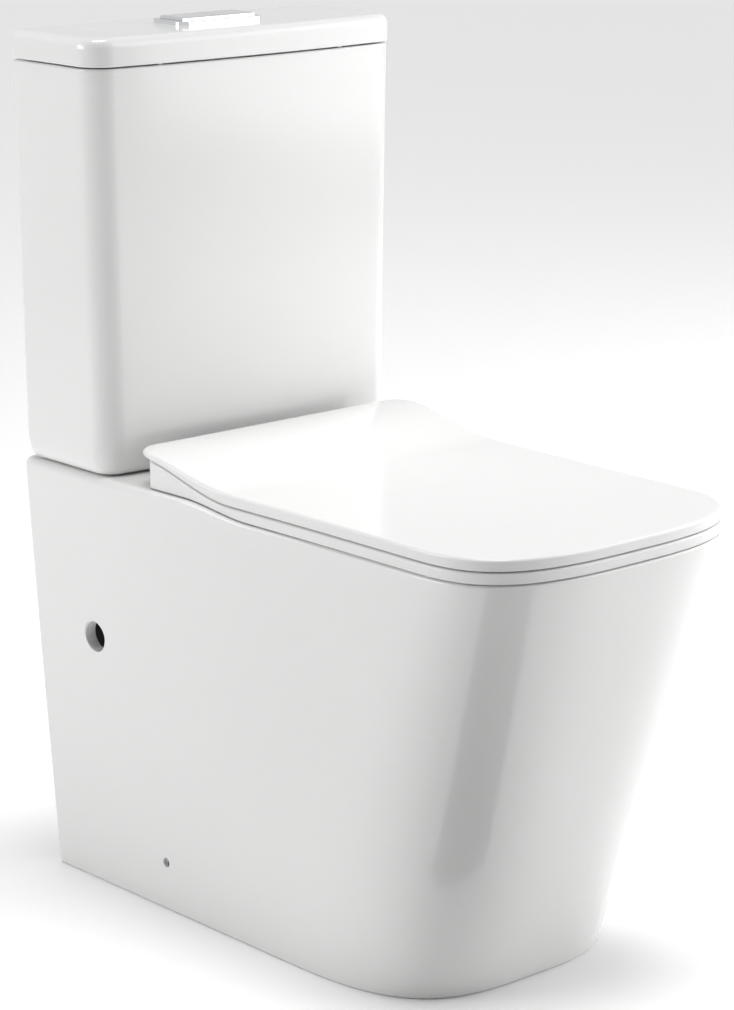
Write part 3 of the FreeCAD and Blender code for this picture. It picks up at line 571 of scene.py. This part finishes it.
def tank_loop(half, side, inset=0.0, corner=27.0, back_corner=10.0, bow=7.0):
    """Half the outline is nose arc, corner arc, side, rear corner and back, then its mirror image."""
    half, side, inset = np.broadcast_arrays(*(np.asarray(v, float) for v in (half, side, inset)))
    half, side = half - inset, side - inset
    r, rb = np.maximum(corner - inset, 4.0), np.maximum(back_corner - inset, 3.0)
    turn = 2 * np.arctan(bow / (half - r))
    cx, cd = half - r, side - r
    end_x, end_d = cx + r * np.sin(turn), cd + r * np.cos(turn)
    big = end_x / np.sin(turn)
    t = np.linspace(0, 1, 36)
    nose = turn * t
    bend = mix(turn, np.pi / 2, np.linspace(0, 1, 22)[1:])
    rear = np.linspace(0, np.pi / 2, 12)[1:]
    run = np.linspace(0, 1, 16)[1:]
    x = [big * np.sin(nose), cx + r * np.sin(bend), half + 0 * run, half - rb + rb * np.cos(rear)]
    d = [end_d + big * (np.cos(nose) - np.cos(turn)), cd + r * np.cos(bend),
         mix(cd, inset + rb, run), inset + rb - rb * np.sin(rear)]
    x.append((half - rb) * (1 - np.linspace(0, 1, 30)[1:]))
    d.append(inset + 0 * x[-1])
    x, d = np.concatenate(x, -1), np.concatenate(d, -1)
    return np.concatenate([x, -x[:, -2:0:-1]], -1), np.concatenate([d, d[:, -2:0:-1]], -1)


def column(*values):
    """Stacks numbers and arrays into one column of rows."""
    return np.concatenate([np.atleast_1d(v) for v in values])[:, None]


tank_low, foot_top = reach("tank", 2, 0), reach("tank", 2, 0) + 32.0
quarter = np.linspace(0, np.pi / 2, 14)
tank_half = lambda z: mix(180.0, 185.8, np.clip((z - foot_top) / (tank_top - foot_top), 0, 1))
tank_side = lambda z: mix(131.0, 132.0, np.clip((z - foot_top) / (tank_top - foot_top), 0, 1))
inner_low = tank_low + 14
heights = column(inner_low, inner_low + 6 * (1 - np.cos(quarter)),
                 np.linspace(inner_low + 8, tank_top - 3, 30),
                 tank_top - 2 + 2 * np.sin(quarter), tank_top - 2 + 2 * np.sin(quarter[::-1]),
                 np.linspace(tank_top - 3, foot_top, 60), foot_top - 32 * np.sin(quarter))
insets = column(20, 15 - 6 * np.sin(quarter), np.full(30, 9.0), 9 - 2.5 * (1 - np.cos(quarter)),
                2 * (1 - np.cos(quarter[::-1])), np.zeros(60), 9.6 * (1 - np.cos(quarter)))
loop_x, loop_d = tank_loop(tank_half(heights), tank_side(heights), insets)
tank = make("cistern_china", solid(place(loop_x, loop_d, heights)))
holes = [drill(0, valve_d, 29.0, 400, 460), drill(inlet_x, valve_d, 11.8, 400, 460),
         drill(bolt_x, valve_d, bolt_hole, 400, 460), drill(-bolt_x, valve_d, bolt_hole, 400, 460)]
combine(tank, "DIFFERENCE", *holes)
tidy(tank, 35)
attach(tank, "base")
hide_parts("tank")
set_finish(tank, "ceramic")
print("cistern faces:", len(tank.data.polygons))

# %% [markdown]
# ## The cistern's lid
# The lid carries the cistern's outline up and rolls over into a flat top. Underneath it is hollow, with
# a rim that rests on four rubber dots. Its profile runs from the middle of the ceiling, out, down the
# inside, round the rim, up and over to the middle of the top. A shallow recess takes the button plate.

# %% The cistern's lid
cover_low = reach("tank_lid", 2, 0)
cover_half, cover_side = 186.6, 132.8
roll = 9.6
small = 1.2
heights = column(cover_top - 12, cover_top - 12 - 5 * (1 - np.cos(quarter)), cover_low + 4,
                 cover_low + small * (1 - np.sin(quarter)), cover_low + small * (1 - np.cos(quarter)),
                 np.linspace(cover_low + 3, cover_top - roll - 1, 8),
                 cover_top - roll + roll * np.sin(quarter))
insets = column(26, 15 - 5 * np.sin(quarter), 10, 10 - small * (1 - np.cos(quarter)),
                small * (1 - np.sin(quarter)), np.zeros(8), roll * (1 - np.cos(quarter)))
loop_x, loop_d = tank_loop(cover_half, cover_side, insets)
rise_in = capped_top(loop_x[-1:], loop_d[-1:], lambda d: cover_top + 0 * d, rows=16, middle=button_d)
cover = make("cistern_lid_china", solid(np.concatenate([place(loop_x, loop_d, heights), rise_in])))
recess = make("recess", box(-46.5, 46.5, button_d - 20.5, button_d + 20.5, cover_top - 6, cover_top + 5))
combine(cover, "DIFFERENCE", recess, drill(0, button_d, 25.5, 800, 850))
tidy(cover, 35)
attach(cover, "tank_cover")
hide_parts("tank_lid")
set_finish(cover, "ceramic")
print("cistern lid faces:", len(cover.data.polygons))

# %% [markdown]
# ## The seat's outline and levels
# Ring and lid share one outline: a straight back with round corners, and sides and front that follow the
# rim. Both ride up towards the hinge in the same soft S. A loop is worked out flat, and its height then
# follows from how far forward each point lies.

# %% The seat's loop and levels
seat_back = 155.0


def seat_level(back, front):
    """A height that eases from its value at the hinge down to its value at the front."""
    return lambda d: mix(back, front, ease((d - 160.0) / 137.0))


ring_top = seat_level(reach("seat_ring", 2, 1), 428.5)
lid_top = seat_level(reach("seat_lid", 2, 1), 440.4)


def seat_loop(inset, back=seat_back, corner=28.0):
    """The closed outline: front superellipse, side, round rear corner, back, and the other side."""
    nose_x, nose_d = front_turn(rim_half, rim_straight, depth - 0.6, 3.1, 120)
    run = np.linspace(rim_straight, back + corner, 60)[1:]
    turn = np.linspace(0, np.pi / 2, 16)[1:]
    half = side_half(run, 1.0, 170.0)
    corner_x = half[-1] - corner + corner * np.cos(turn)
    corner_d = back + corner - corner * np.sin(turn)
    rear = np.linspace(corner_x[-1], -corner_x[-1], 90)[1:-1]
    x = np.concatenate([nose_x, -half, -corner_x, -rear, corner_x[::-1], half[::-1][:-1]])
    d = np.concatenate([nose_d, run, corner_d, back + 0 * rear, corner_d[::-1], run[::-1][:-1]])
    inset = np.atleast_1d(inset)[:, None]
    ox, od = offset(x[None], d[None], 1.0)
    return x + (ox - x) * inset, d + (od - d) * inset


first = seat_loop(np.array([0.0]))
print("seat outline:", first[0].shape, "from", round(first[1].min(), 1), "to", round(first[1].max(), 1))

# %% [markdown]
# ## The lid
# The lid is a shallow tray turned upside down: a crisp but softened top edge, a short skirt and a hollow
# underside with its four rubber buffers. Each row of the profile has an inset and a height above or below
# one of two levels. The underside stays just above the ring.

# %% The lid
edge, lip = 2.6, 1.0
skin, wall = 4.0, 5.0


def seat_rows(rows):
    """Turns (inset, level, lift) rows into loops; each height is the level at the point's d plus lift."""
    points = []
    for inset, level, lift in rows:
        x, d = seat_loop(inset)
        points.append(place(x, d, level(d) + lift))
    return np.concatenate(points)


lid_low = lambda d: ring_top(d) + 1.2
lid_mid = 400.0
inside = [(wall + 3 - 3 * np.sin(a), lid_top, -skin - 3 * (1 - np.cos(a))) for a in quarter[::3]]
inside += [(wall - lip + lip * np.sin(a), lid_low, lip * (1 - np.cos(a))) for a in quarter[::-3]]
inside += [(lip * (1 - np.sin(a)), lid_low, lip * (1 - np.cos(a))) for a in quarter[::3]]
inside += [(edge * (1 - np.cos(a)), lid_top, -edge * (1 - np.sin(a))) for a in quarter[::2]]
shell = seat_rows(inside)
flat_x, flat_d = seat_loop(np.array([wall + 3.0]))
top_x, top_d = seat_loop(np.array([edge]))
ceiling = capped_top(flat_x, flat_d, lambda d: lid_top(d) - skin, rows=60, middle=lid_mid)[::-1]
roof = capped_top(top_x, top_d, lid_top, rows=60, middle=lid_mid)
lid = make("seat_lid_shell", solid(np.concatenate([ceiling, shell, roof])))
print("lid faces:", len(lid.data.polygons))

# %% [markdown]
# ## The ring
# The ring is a loop in two senses: its outline is closed, and its section is closed too, so rows and
# columns both wrap round. The section goes over the top, down the inside of the opening, under the inner
# lip, up into a channel that keeps the plastic thin, and out to the outer lip.

# %% The ring
hole_mid, hole_long, hole_half, hole_power = 432.0, 160.0, 111.0, 2.6


def hole_loop(x, d, grow):
    """The opening's superellipse, met along the direction of each point of the outer loop."""
    a = np.arctan2((d - hole_mid) / (hole_long + grow), x / (hole_half + grow))
    r = (np.abs(np.cos(a)) ** hole_power + np.abs(np.sin(a)) ** hole_power) ** (-1 / hole_power)
    return (hole_half + grow) * np.cos(a) * r, hole_mid + (hole_long + grow) * np.sin(a) * r


def ring_row(share, inset, grow, level, lift):
    """One loop a share of the way from the outline, set in, to the opening, grown."""
    x, d = seat_loop(np.array([inset]), back=174.0, corner=14.0)
    hx, hd = hole_loop(x, d, grow)
    x, d = mix(x, hx, share), mix(d, hd, share)
    lift = lift(d) if callable(lift) else lift
    return place(x, d, level(d) + lift)


pan_line = lambda d: shelf_line(d) + 1.2
soft, hole_soft = 2.2, 4.0
channel = lambda d: 0.6 + ((ring_top(d) - 5.0) - (pan_line(d) + 0.6)) * ease((d - 195) / 8)
rows = [ring_row(0, soft * (1 - np.cos(a)), 0, ring_top, -soft * (1 - np.sin(a))) for a in quarter[::2]]
rows += [ring_row(s, soft, hole_soft, ring_top, 0.0) for s in np.linspace(0, 1, 14)[1:-1]]
rows += [ring_row(1, 0, hole_soft * (1 - np.sin(a)), ring_top, -hole_soft * (1 - np.cos(a)))
         for a in quarter[::2]]
rows += [ring_row(1, 0, lip * (1 - np.cos(a)), pan_line, lip * (1 - np.sin(a))) for a in quarter[::3]]
rows += [ring_row(1, 0, 5.0, pan_line, 0.0), ring_row(1, 0, 5.6, pan_line, channel)]
rows += [ring_row(s, 5.6, 5.6, pan_line, channel) for s in (0.66, 0.33)]
rows += [ring_row(0, 5.6, 0, pan_line, channel), ring_row(0, 5.0, 0, pan_line, 0.0)]
rows += [ring_row(0, lip * (1 - np.sin(a)), 0, pan_line, lip * (1 - np.cos(a))) for a in quarter[::3]]
ring = make("seat_ring_shell", solid(np.concatenate(rows), wrap_rows=True))
print("ring faces:", len(ring.data.polygons))

# %% [markdown]
# ## Hinge ears
# Ring and lid each reach down to the hinge axis with ears. An ear is a round knuckle that grows out of
# the moulding, so its section is a circle whose upper part stretches to meet the plastic. The lid's ears
# sit outboard of each post and the ring's inboard, and the lid's ear on the +x side is the longer barrel
# for the slow-close damper.

# %% Hinge ears


def ear(x0, x1, rise, lead, radius=8.0, edge=0.8):
    """A knuckle between x0 and x1: a circle about the axis, stretched up by rise and forward by lead
    on its upper forward side, with softened end faces."""
    a = np.linspace(0, 2 * np.pi, 48, endpoint=False)
    t = np.linspace(0, np.pi / 2, 5)
    x = np.concatenate([x0 + edge * (1 - np.cos(t)), x1 - edge * (1 - np.cos(t[::-1]))])[:, None]
    r = np.concatenate([radius - edge * (1 - np.sin(t)), radius - edge * (1 - np.sin(t[::-1]))])[:, None]
    d = r * np.cos(a) + lead * ease(np.cos(a) * 1.2)
    z = r * np.sin(a) * np.where(np.sin(a) > 0, 1 + rise / radius, 1.0)
    return solid(place(x + 0 * d, hinge_d + d, hinge_z + z))


ears = {"ring": [], "lid": []}
for side in (-1, 1):
    inner, outer = hinge_x - 7.9 - 17, hinge_x - 7.9
    ears["ring"].append(make("ear", ear(*sorted((side * inner, side * outer)), -2.0, 5.0)))
    start = hinge_x + 7.9
    end = start + (41 if side > 0 else 17)
    ears["lid"].append(make("ear", ear(*sorted((side * start, side * end)), 2.5, -1.0)))
notch = lambda side: box(*sorted((side * 69.6, side * 126.9)), 100, 181.5, 400, 460, edge=2.0)
gap = lambda side: box(*sorted((side * 69.6, side * 85.4)), 100, 162.0, 400, lid_top(160.0) - 4, edge=0.5)
combine(ring, "DIFFERENCE", make("notch", notch(-1)), make("notch", notch(1)))
combine(lid, "DIFFERENCE", make("gap", gap(-1)), make("gap", gap(1)))
combine(ring, "UNION", *ears["ring"])
combine(lid, "UNION", *ears["lid"])
for piece, body, node in ((ring, "ring", "seat_ring"), (lid, "lid", "seat_lid")):
    tidy(piece, 35, 1e-5)
    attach(piece, body)
    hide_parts(node)
    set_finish(piece, "seat_plastic")
    print(piece.name, len(piece.data.polygons), "faces")

# %% [markdown]
# ## Finishes
# Gloss needs very little pattern, but never none: fired glaze has a slow waviness that bends its
# reflections, moulded plastic has a faint flow and a fine grain, and handled metal has a film of touch
# marks. Three small node groups hold those effects, and each material places them with its own values.
# They read Object coordinates, so a pattern stays put on its piece.

# %% Groups for the shared effects


def group(name, inputs, outputs):
    """A shader group with float inputs (name, value) and outputs (name, socket kind)."""
    tree = bpy.data.node_groups.new(name, "ShaderNodeTree")
    for label, value in inputs:
        kind = "NodeSocketColor" if isinstance(value, tuple) else "NodeSocketFloat"
        tree.interface.new_socket(label, in_out="INPUT", socket_type=kind).default_value = value
    for label, kind in outputs:
        tree.interface.new_socket(label, in_out="OUTPUT", socket_type=kind)
    return tree, tree.nodes.new("NodeGroupInput"), tree.nodes.new("NodeGroupOutput")


def noise_in(tree, scale, detail=3.0, roughness=0.5):
    """A noise texture on Object coordinates whose scale is the given socket."""
    where = tree.nodes.new("ShaderNodeTexCoord")
    noise = tree.nodes.new("ShaderNodeTexNoise")
    noise.inputs["Detail"].default_value = detail
    noise.inputs["Roughness"].default_value = roughness
    tree.links.new(where.outputs["Object"], noise.inputs["Vector"])
    tree.links.new(scale, noise.inputs["Scale"])
    return noise


drift, into, out_of = group("surface_drift", [("Scale", 8.0), ("Low", 0.05), ("High", 0.1)],
                            [("Value", "NodeSocketFloat")])
noise = noise_in(drift, into.outputs["Scale"], 4.0, 0.6)
spread = drift.nodes.new("ShaderNodeMapRange")
spread.inputs["From Min"].default_value, spread.inputs["From Max"].default_value = 0.3, 0.7
drift.links.new(noise.outputs["Fac"], spread.inputs["Value"])
drift.links.new(into.outputs["Low"], spread.inputs["To Min"])
drift.links.new(into.outputs["High"], spread.inputs["To Max"])
drift.links.new(spread.outputs["Result"], out_of.inputs["Value"])
print("group:", drift.name)

# %% [markdown]
# The second group tints: it blends two near colours by a slow noise, as a glaze does where it lies
# thicker. The third adds two waves of relief, a slow one and a fine one, as a height for a Bump node.

# %% Tint and relief
tint_inputs = [("Scale", 5.0), ("Thin", (1.0, 1.0, 1.0, 1.0)), ("Thick", (0.9, 0.9, 0.9, 1.0))]
tint, into, out_of = group("tint_drift", tint_inputs, [("Color", "NodeSocketColor")])
noise = noise_in(tint, into.outputs["Scale"], 5.0, 0.55)
blend = tint.nodes.new("ShaderNodeMix")
blend.data_type = "RGBA"
tint.links.new(noise.outputs["Fac"], blend.inputs[0])
tint.links.new(into.outputs["Thin"], blend.inputs[6])
tint.links.new(into.outputs["Thick"], blend.inputs[7])
tint.links.new(blend.outputs[2], out_of.inputs["Color"])

relief, into, out_of = group("relief", [("Slow", 12.0), ("Fine", 900.0), ("Share", 0.2)],
                             [("Height", "NodeSocketFloat")])
slow = noise_in(relief, into.outputs["Slow"], 1.0)
fine = noise_in(relief, into.outputs["Fine"], 2.0)
blend = relief.nodes.new("ShaderNodeMix")
relief.links.new(into.outputs["Share"], blend.inputs[0])
relief.links.new(slow.outputs["Fac"], blend.inputs[2])
relief.links.new(fine.outputs["Fac"], blend.inputs[3])
relief.links.new(blend.outputs[0], out_of.inputs["Height"])
print("groups:", [g.name for g in (drift, tint, relief)])

# %% [markdown]
# ## Materials
# Each material is one Principled shader with the three groups plugged in. What is the same all over a
# piece, such as metalness or coat, is set on the shader itself.

# %% Material builder


def placed(tree, made, **values):
    """Puts a group into a material and sets its inputs."""
    node = tree.nodes.new("ShaderNodeGroup")
    node.node_tree = made
    for label, value in values.items():
        node.inputs[label].default_value = value
    return node


def finish(name, thin, thick, rough, bump=(12.0, 900.0, 0.2, 0.02, 0.001), drift_scale=8.0,
           tint_scale=5.0, **fixed):
    """A material: two near colours, a roughness range, a relief and any fixed shader values. The
    relief is the slow scale, the fine scale, the fine one's share, the strength and the distance."""
    material = bpy.data.materials.new(name)
    material.use_nodes = True
    tree = material.node_tree
    shader = tree.nodes["Principled BSDF"]
    colour = placed(tree, tint, Scale=tint_scale, Thin=(*thin, 1.0), Thick=(*thick, 1.0))
    tree.links.new(colour.outputs["Color"], shader.inputs["Base Color"])
    film = placed(tree, drift, Scale=drift_scale, Low=rough[0], High=rough[1])
    tree.links.new(film.outputs["Value"], shader.inputs["Roughness"])
    slow_scale, fine_scale, share, strength, distance = bump
    height = placed(tree, relief, Slow=slow_scale, Fine=fine_scale, Share=share)
    bumps = tree.nodes.new("ShaderNodeBump")
    bumps.inputs["Strength"].default_value = strength
    bumps.inputs["Distance"].default_value = distance
    tree.links.new(height.outputs["Height"], bumps.inputs["Height"])
    tree.links.new(bumps.outputs["Normal"], shader.inputs["Normal"])
    for label, value in fixed.items():
        shader.inputs[label.replace("_", " ")].default_value = value
    return material


# %% [markdown]
# ## The object's ten finishes
# White glaze, white seat plastic, bright chrome, three plain plastics of the flush works, two rubbers,
# brass and zinc-plated steel.

# %% Ten finishes
finishes = {
    "ceramic": finish("white_glaze", (0.83, 0.83, 0.825), (0.80, 0.80, 0.795), (0.10, 0.16),
                      (9.0, 420.0, 0.12, 0.25, 0.0012), Coat_Weight=0.3, Coat_Roughness=0.10),
    "seat_plastic": finish("seat_white", (0.84, 0.84, 0.835), (0.815, 0.815, 0.81), (0.12, 0.19),
                           (14.0, 1400.0, 0.3, 0.12, 0.0005)),
    "chrome": finish("bright_chrome", (0.80, 0.81, 0.83), (0.72, 0.73, 0.75), (0.03, 0.12),
                     (30.0, 1600.0, 0.2, 0.05, 0.0003), drift_scale=60.0, Metallic=1.0),
    "valve_plastic": finish("valve_white", (0.70, 0.71, 0.69), (0.62, 0.63, 0.61), (0.3, 0.48),
                            (40.0, 1800.0, 0.5, 0.25, 0.0003), drift_scale=30.0),
    "valve_blue": finish("valve_blue", (0.035, 0.13, 0.42), (0.025, 0.095, 0.33), (0.3, 0.45),
                         (40.0, 1800.0, 0.5, 0.25, 0.0003), drift_scale=30.0),
    "valve_grey": finish("valve_grey", (0.17, 0.18, 0.19), (0.13, 0.14, 0.15), (0.35, 0.5),
                         (40.0, 1800.0, 0.5, 0.25, 0.0003), drift_scale=30.0),
    "seal_rubber": finish("seal_rubber", (0.022, 0.022, 0.023), (0.012, 0.012, 0.012), (0.65, 0.9),
                          (60.0, 2200.0, 0.6, 0.5, 0.0004), drift_scale=40.0),
    "pad_rubber": finish("pad_rubber", (0.68, 0.68, 0.65), (0.6, 0.6, 0.57), (0.5, 0.7),
                         (60.0, 2200.0, 0.6, 0.4, 0.0003), drift_scale=40.0),
    "brass": finish("turned_brass", (0.76, 0.56, 0.26), (0.55, 0.38, 0.16), (0.18, 0.42),
                    (80.0, 2600.0, 0.5, 0.3, 0.0002), drift_scale=70.0, tint_scale=50.0, Metallic=1.0),
    "stainless": finish("bright_zinc", (0.66, 0.67, 0.68), (0.5, 0.5, 0.52), (0.18, 0.38),
                        (80.0, 2600.0, 0.5, 0.3, 0.0002), drift_scale=80.0, tint_scale=60.0, Metallic=1.0),
}
for part in frame["record"]["subparts"]:
    nodes[part["node"]].data.materials.clear()
    nodes[part["node"]].data.materials.append(finishes[part["material_slot"]])
for piece in (pan, tank, cover, lid, ring):
    piece.data.materials.clear()
    piece.data.materials.append(finishes[piece["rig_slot"]])

# %% [markdown]
# ## The room
# White ware needs a bright room and one dark edge. A soft light overhead keeps the pale floor and the
# flat tops bright, one lamp stands at the left and two at the right, and the left front corner is left
# between them, so its curve can be read. Reflections see a bright room, so that chrome looks bright.

# %% Floor, world and lights
floor_mesh = bpy.data.meshes.new("floor")
floor_mesh.from_pydata([(-30, -30, 0), (30, -30, 0), (30, 30, 0), (-30, 30, 0)], [], [(0, 1, 2, 3)])
floor = bpy.data.objects.new("floor", floor_mesh)
bpy.context.scene.collection.objects.link(floor)
floor_mesh.materials.append(finish("floor_paint", (0.96, 0.96, 0.96), (0.95, 0.95, 0.95), (0.7, 0.8)))
floor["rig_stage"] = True

world = bpy.data.worlds.new("room")
bpy.context.scene.world = world
world.use_nodes = True
room_tree = world.node_tree
room_tree.nodes["Background"].inputs["Color"].default_value = (1.0, 1.0, 1.0, 1.0)
rays = room_tree.nodes.new("ShaderNodeLightPath")
strength = room_tree.nodes.new("ShaderNodeMapRange")
strength.inputs["To Min"].default_value, strength.inputs["To Max"].default_value = 0.06, 0.7
room_tree.links.new(rays.outputs["Is Glossy Ray"], strength.inputs["Value"])
room_tree.links.new(strength.outputs["Result"], room_tree.nodes["Background"].inputs["Strength"])


def lamp(name, spot, target, size, power):
    """A square area light at spot that looks at target."""
    light = bpy.data.lights.new(name, "AREA")
    light.shape, light.size, light.energy = "SQUARE", size, power
    piece = bpy.data.objects.new(name, light)
    piece.location = spot
    piece.rotation_euler = (Vector(target) - Vector(spot)).to_track_quat("-Z", "Y").to_euler()
    bpy.context.scene.collection.objects.link(piece)
    return piece


def sky_light(name, strength, spread):
    """A sun straight overhead whose disc spans the given angle in degrees, for soft even light."""
    light = bpy.data.lights.new(name, "SUN")
    light.energy, light.angle = strength, np.radians(spread)
    light.cycles.use_multiple_importance_sampling = False
    piece = bpy.data.objects.new(name, light)
    bpy.context.scene.collection.objects.link(piece)
    return piece


sky_light("overhead", 2.3, 30)
lamp("left_light", (-2.4, 1.3, 1.3), (0, 0, 0.4), 1.4, 29.0)
lamp("right_light", (2.8, -0.8, 1.5), (0, 0, 0.4), 1.8, 34.0)
lamp("front_right_light", (2.4, -1.9, 1.6), (0, 0, 0.4), 3.0, 56.0)
for light in bpy.data.objects:
    if light.type == "LIGHT":
        light.visible_camera = False
bpy.context.scene.view_settings.view_transform = "Standard"

# %% [markdown]
# ## Two dark cards
# In a studio, black card is laid beside white ware so that its edge reads against a white room. One card
# lies on the floor before the left front corner, and the other stands where the wall would be. That one's
# black, seen through the side hole, is painted shade for the pan's hollow, since it casts no shadow. Each
# is black on one side only, and light passes through both.

# %% Dark cards
black = bpy.data.materials.new("black_card")
black.use_nodes = True
tree = black.node_tree
paper = tree.nodes["Principled BSDF"]
paper.inputs["Base Color"].default_value = (0.02, 0.02, 0.02, 1.0)
side, clear, either = [tree.nodes.new(kind) for kind in
                       ("ShaderNodeNewGeometry", "ShaderNodeBsdfTransparent", "ShaderNodeMixShader")]
tree.links.new(side.outputs["Backfacing"], either.inputs[0])
tree.links.new(paper.outputs["BSDF"], either.inputs[1])
tree.links.new(clear.outputs["BSDF"], either.inputs[2])
tree.links.new(either.outputs["Shader"], tree.nodes["Material Output"].inputs["Surface"])


def dark_card(name, corners, seen):
    """A flat four-cornered card, black on the side that its corners run round anticlockwise."""
    sheet = bpy.data.meshes.new(name)
    sheet.from_pydata(corners, [], [(0, 1, 2, 3)])
    sheet.materials.append(black)
    piece = bpy.data.objects.new(name, sheet)
    bpy.context.scene.collection.objects.link(piece)
    piece.visible_camera, piece.visible_shadow = seen, False
    piece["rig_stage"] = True


lift = 0.001
floor_corners = [(-0.24, -0.26, lift), (-0.75, -0.85, lift), (0.02, -1.0, lift), (-0.06, -0.36, lift)]
dark_card("floor_card", floor_corners, False)
# The second card is painted shade: a black sheet seen through the side hole where the inside of the pan
# lies in shade.
back, half, low, high = cad_high[1] + 0.003, 0.13, 0.12, 0.38
shade_card_corners = [(-half, back, low), (half, back, low), (half, back, high), (-half, back, high)]
dark_card("painted_shade_card", shade_card_corners, True)
print("cards: floor and wall")

# %% [markdown]
# ## The camera
# A long lens, a little above the lid, looks down across the left front corner.

# %% The camera
lens = bpy.data.cameras.new("view")
lens.lens, lens.sensor_width = 114.3, 36.0
camera = bpy.data.objects.new("view", lens)
camera.location = (-1.9362, -2.1597, 1.1499)
camera.rotation_euler = Vector((0.6424, 0.7253, -0.2478)).to_track_quat("-Z", "Y").to_euler()
bpy.context.scene.collection.objects.link(camera)
bpy.context.scene.camera = camera
print("camera at", [round(v, 3) for v in camera.location])

# %% [markdown]
# ## Measure and finish
# Both boxes are printed: the engineering model's box at the start and the visible model's box here.
# The visible model must keep to the engineering model's box.

# %% Sizes out, and finish
low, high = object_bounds()
print("visual box:", [round(v, 4) for v in low], [round(v, 4) for v in high])
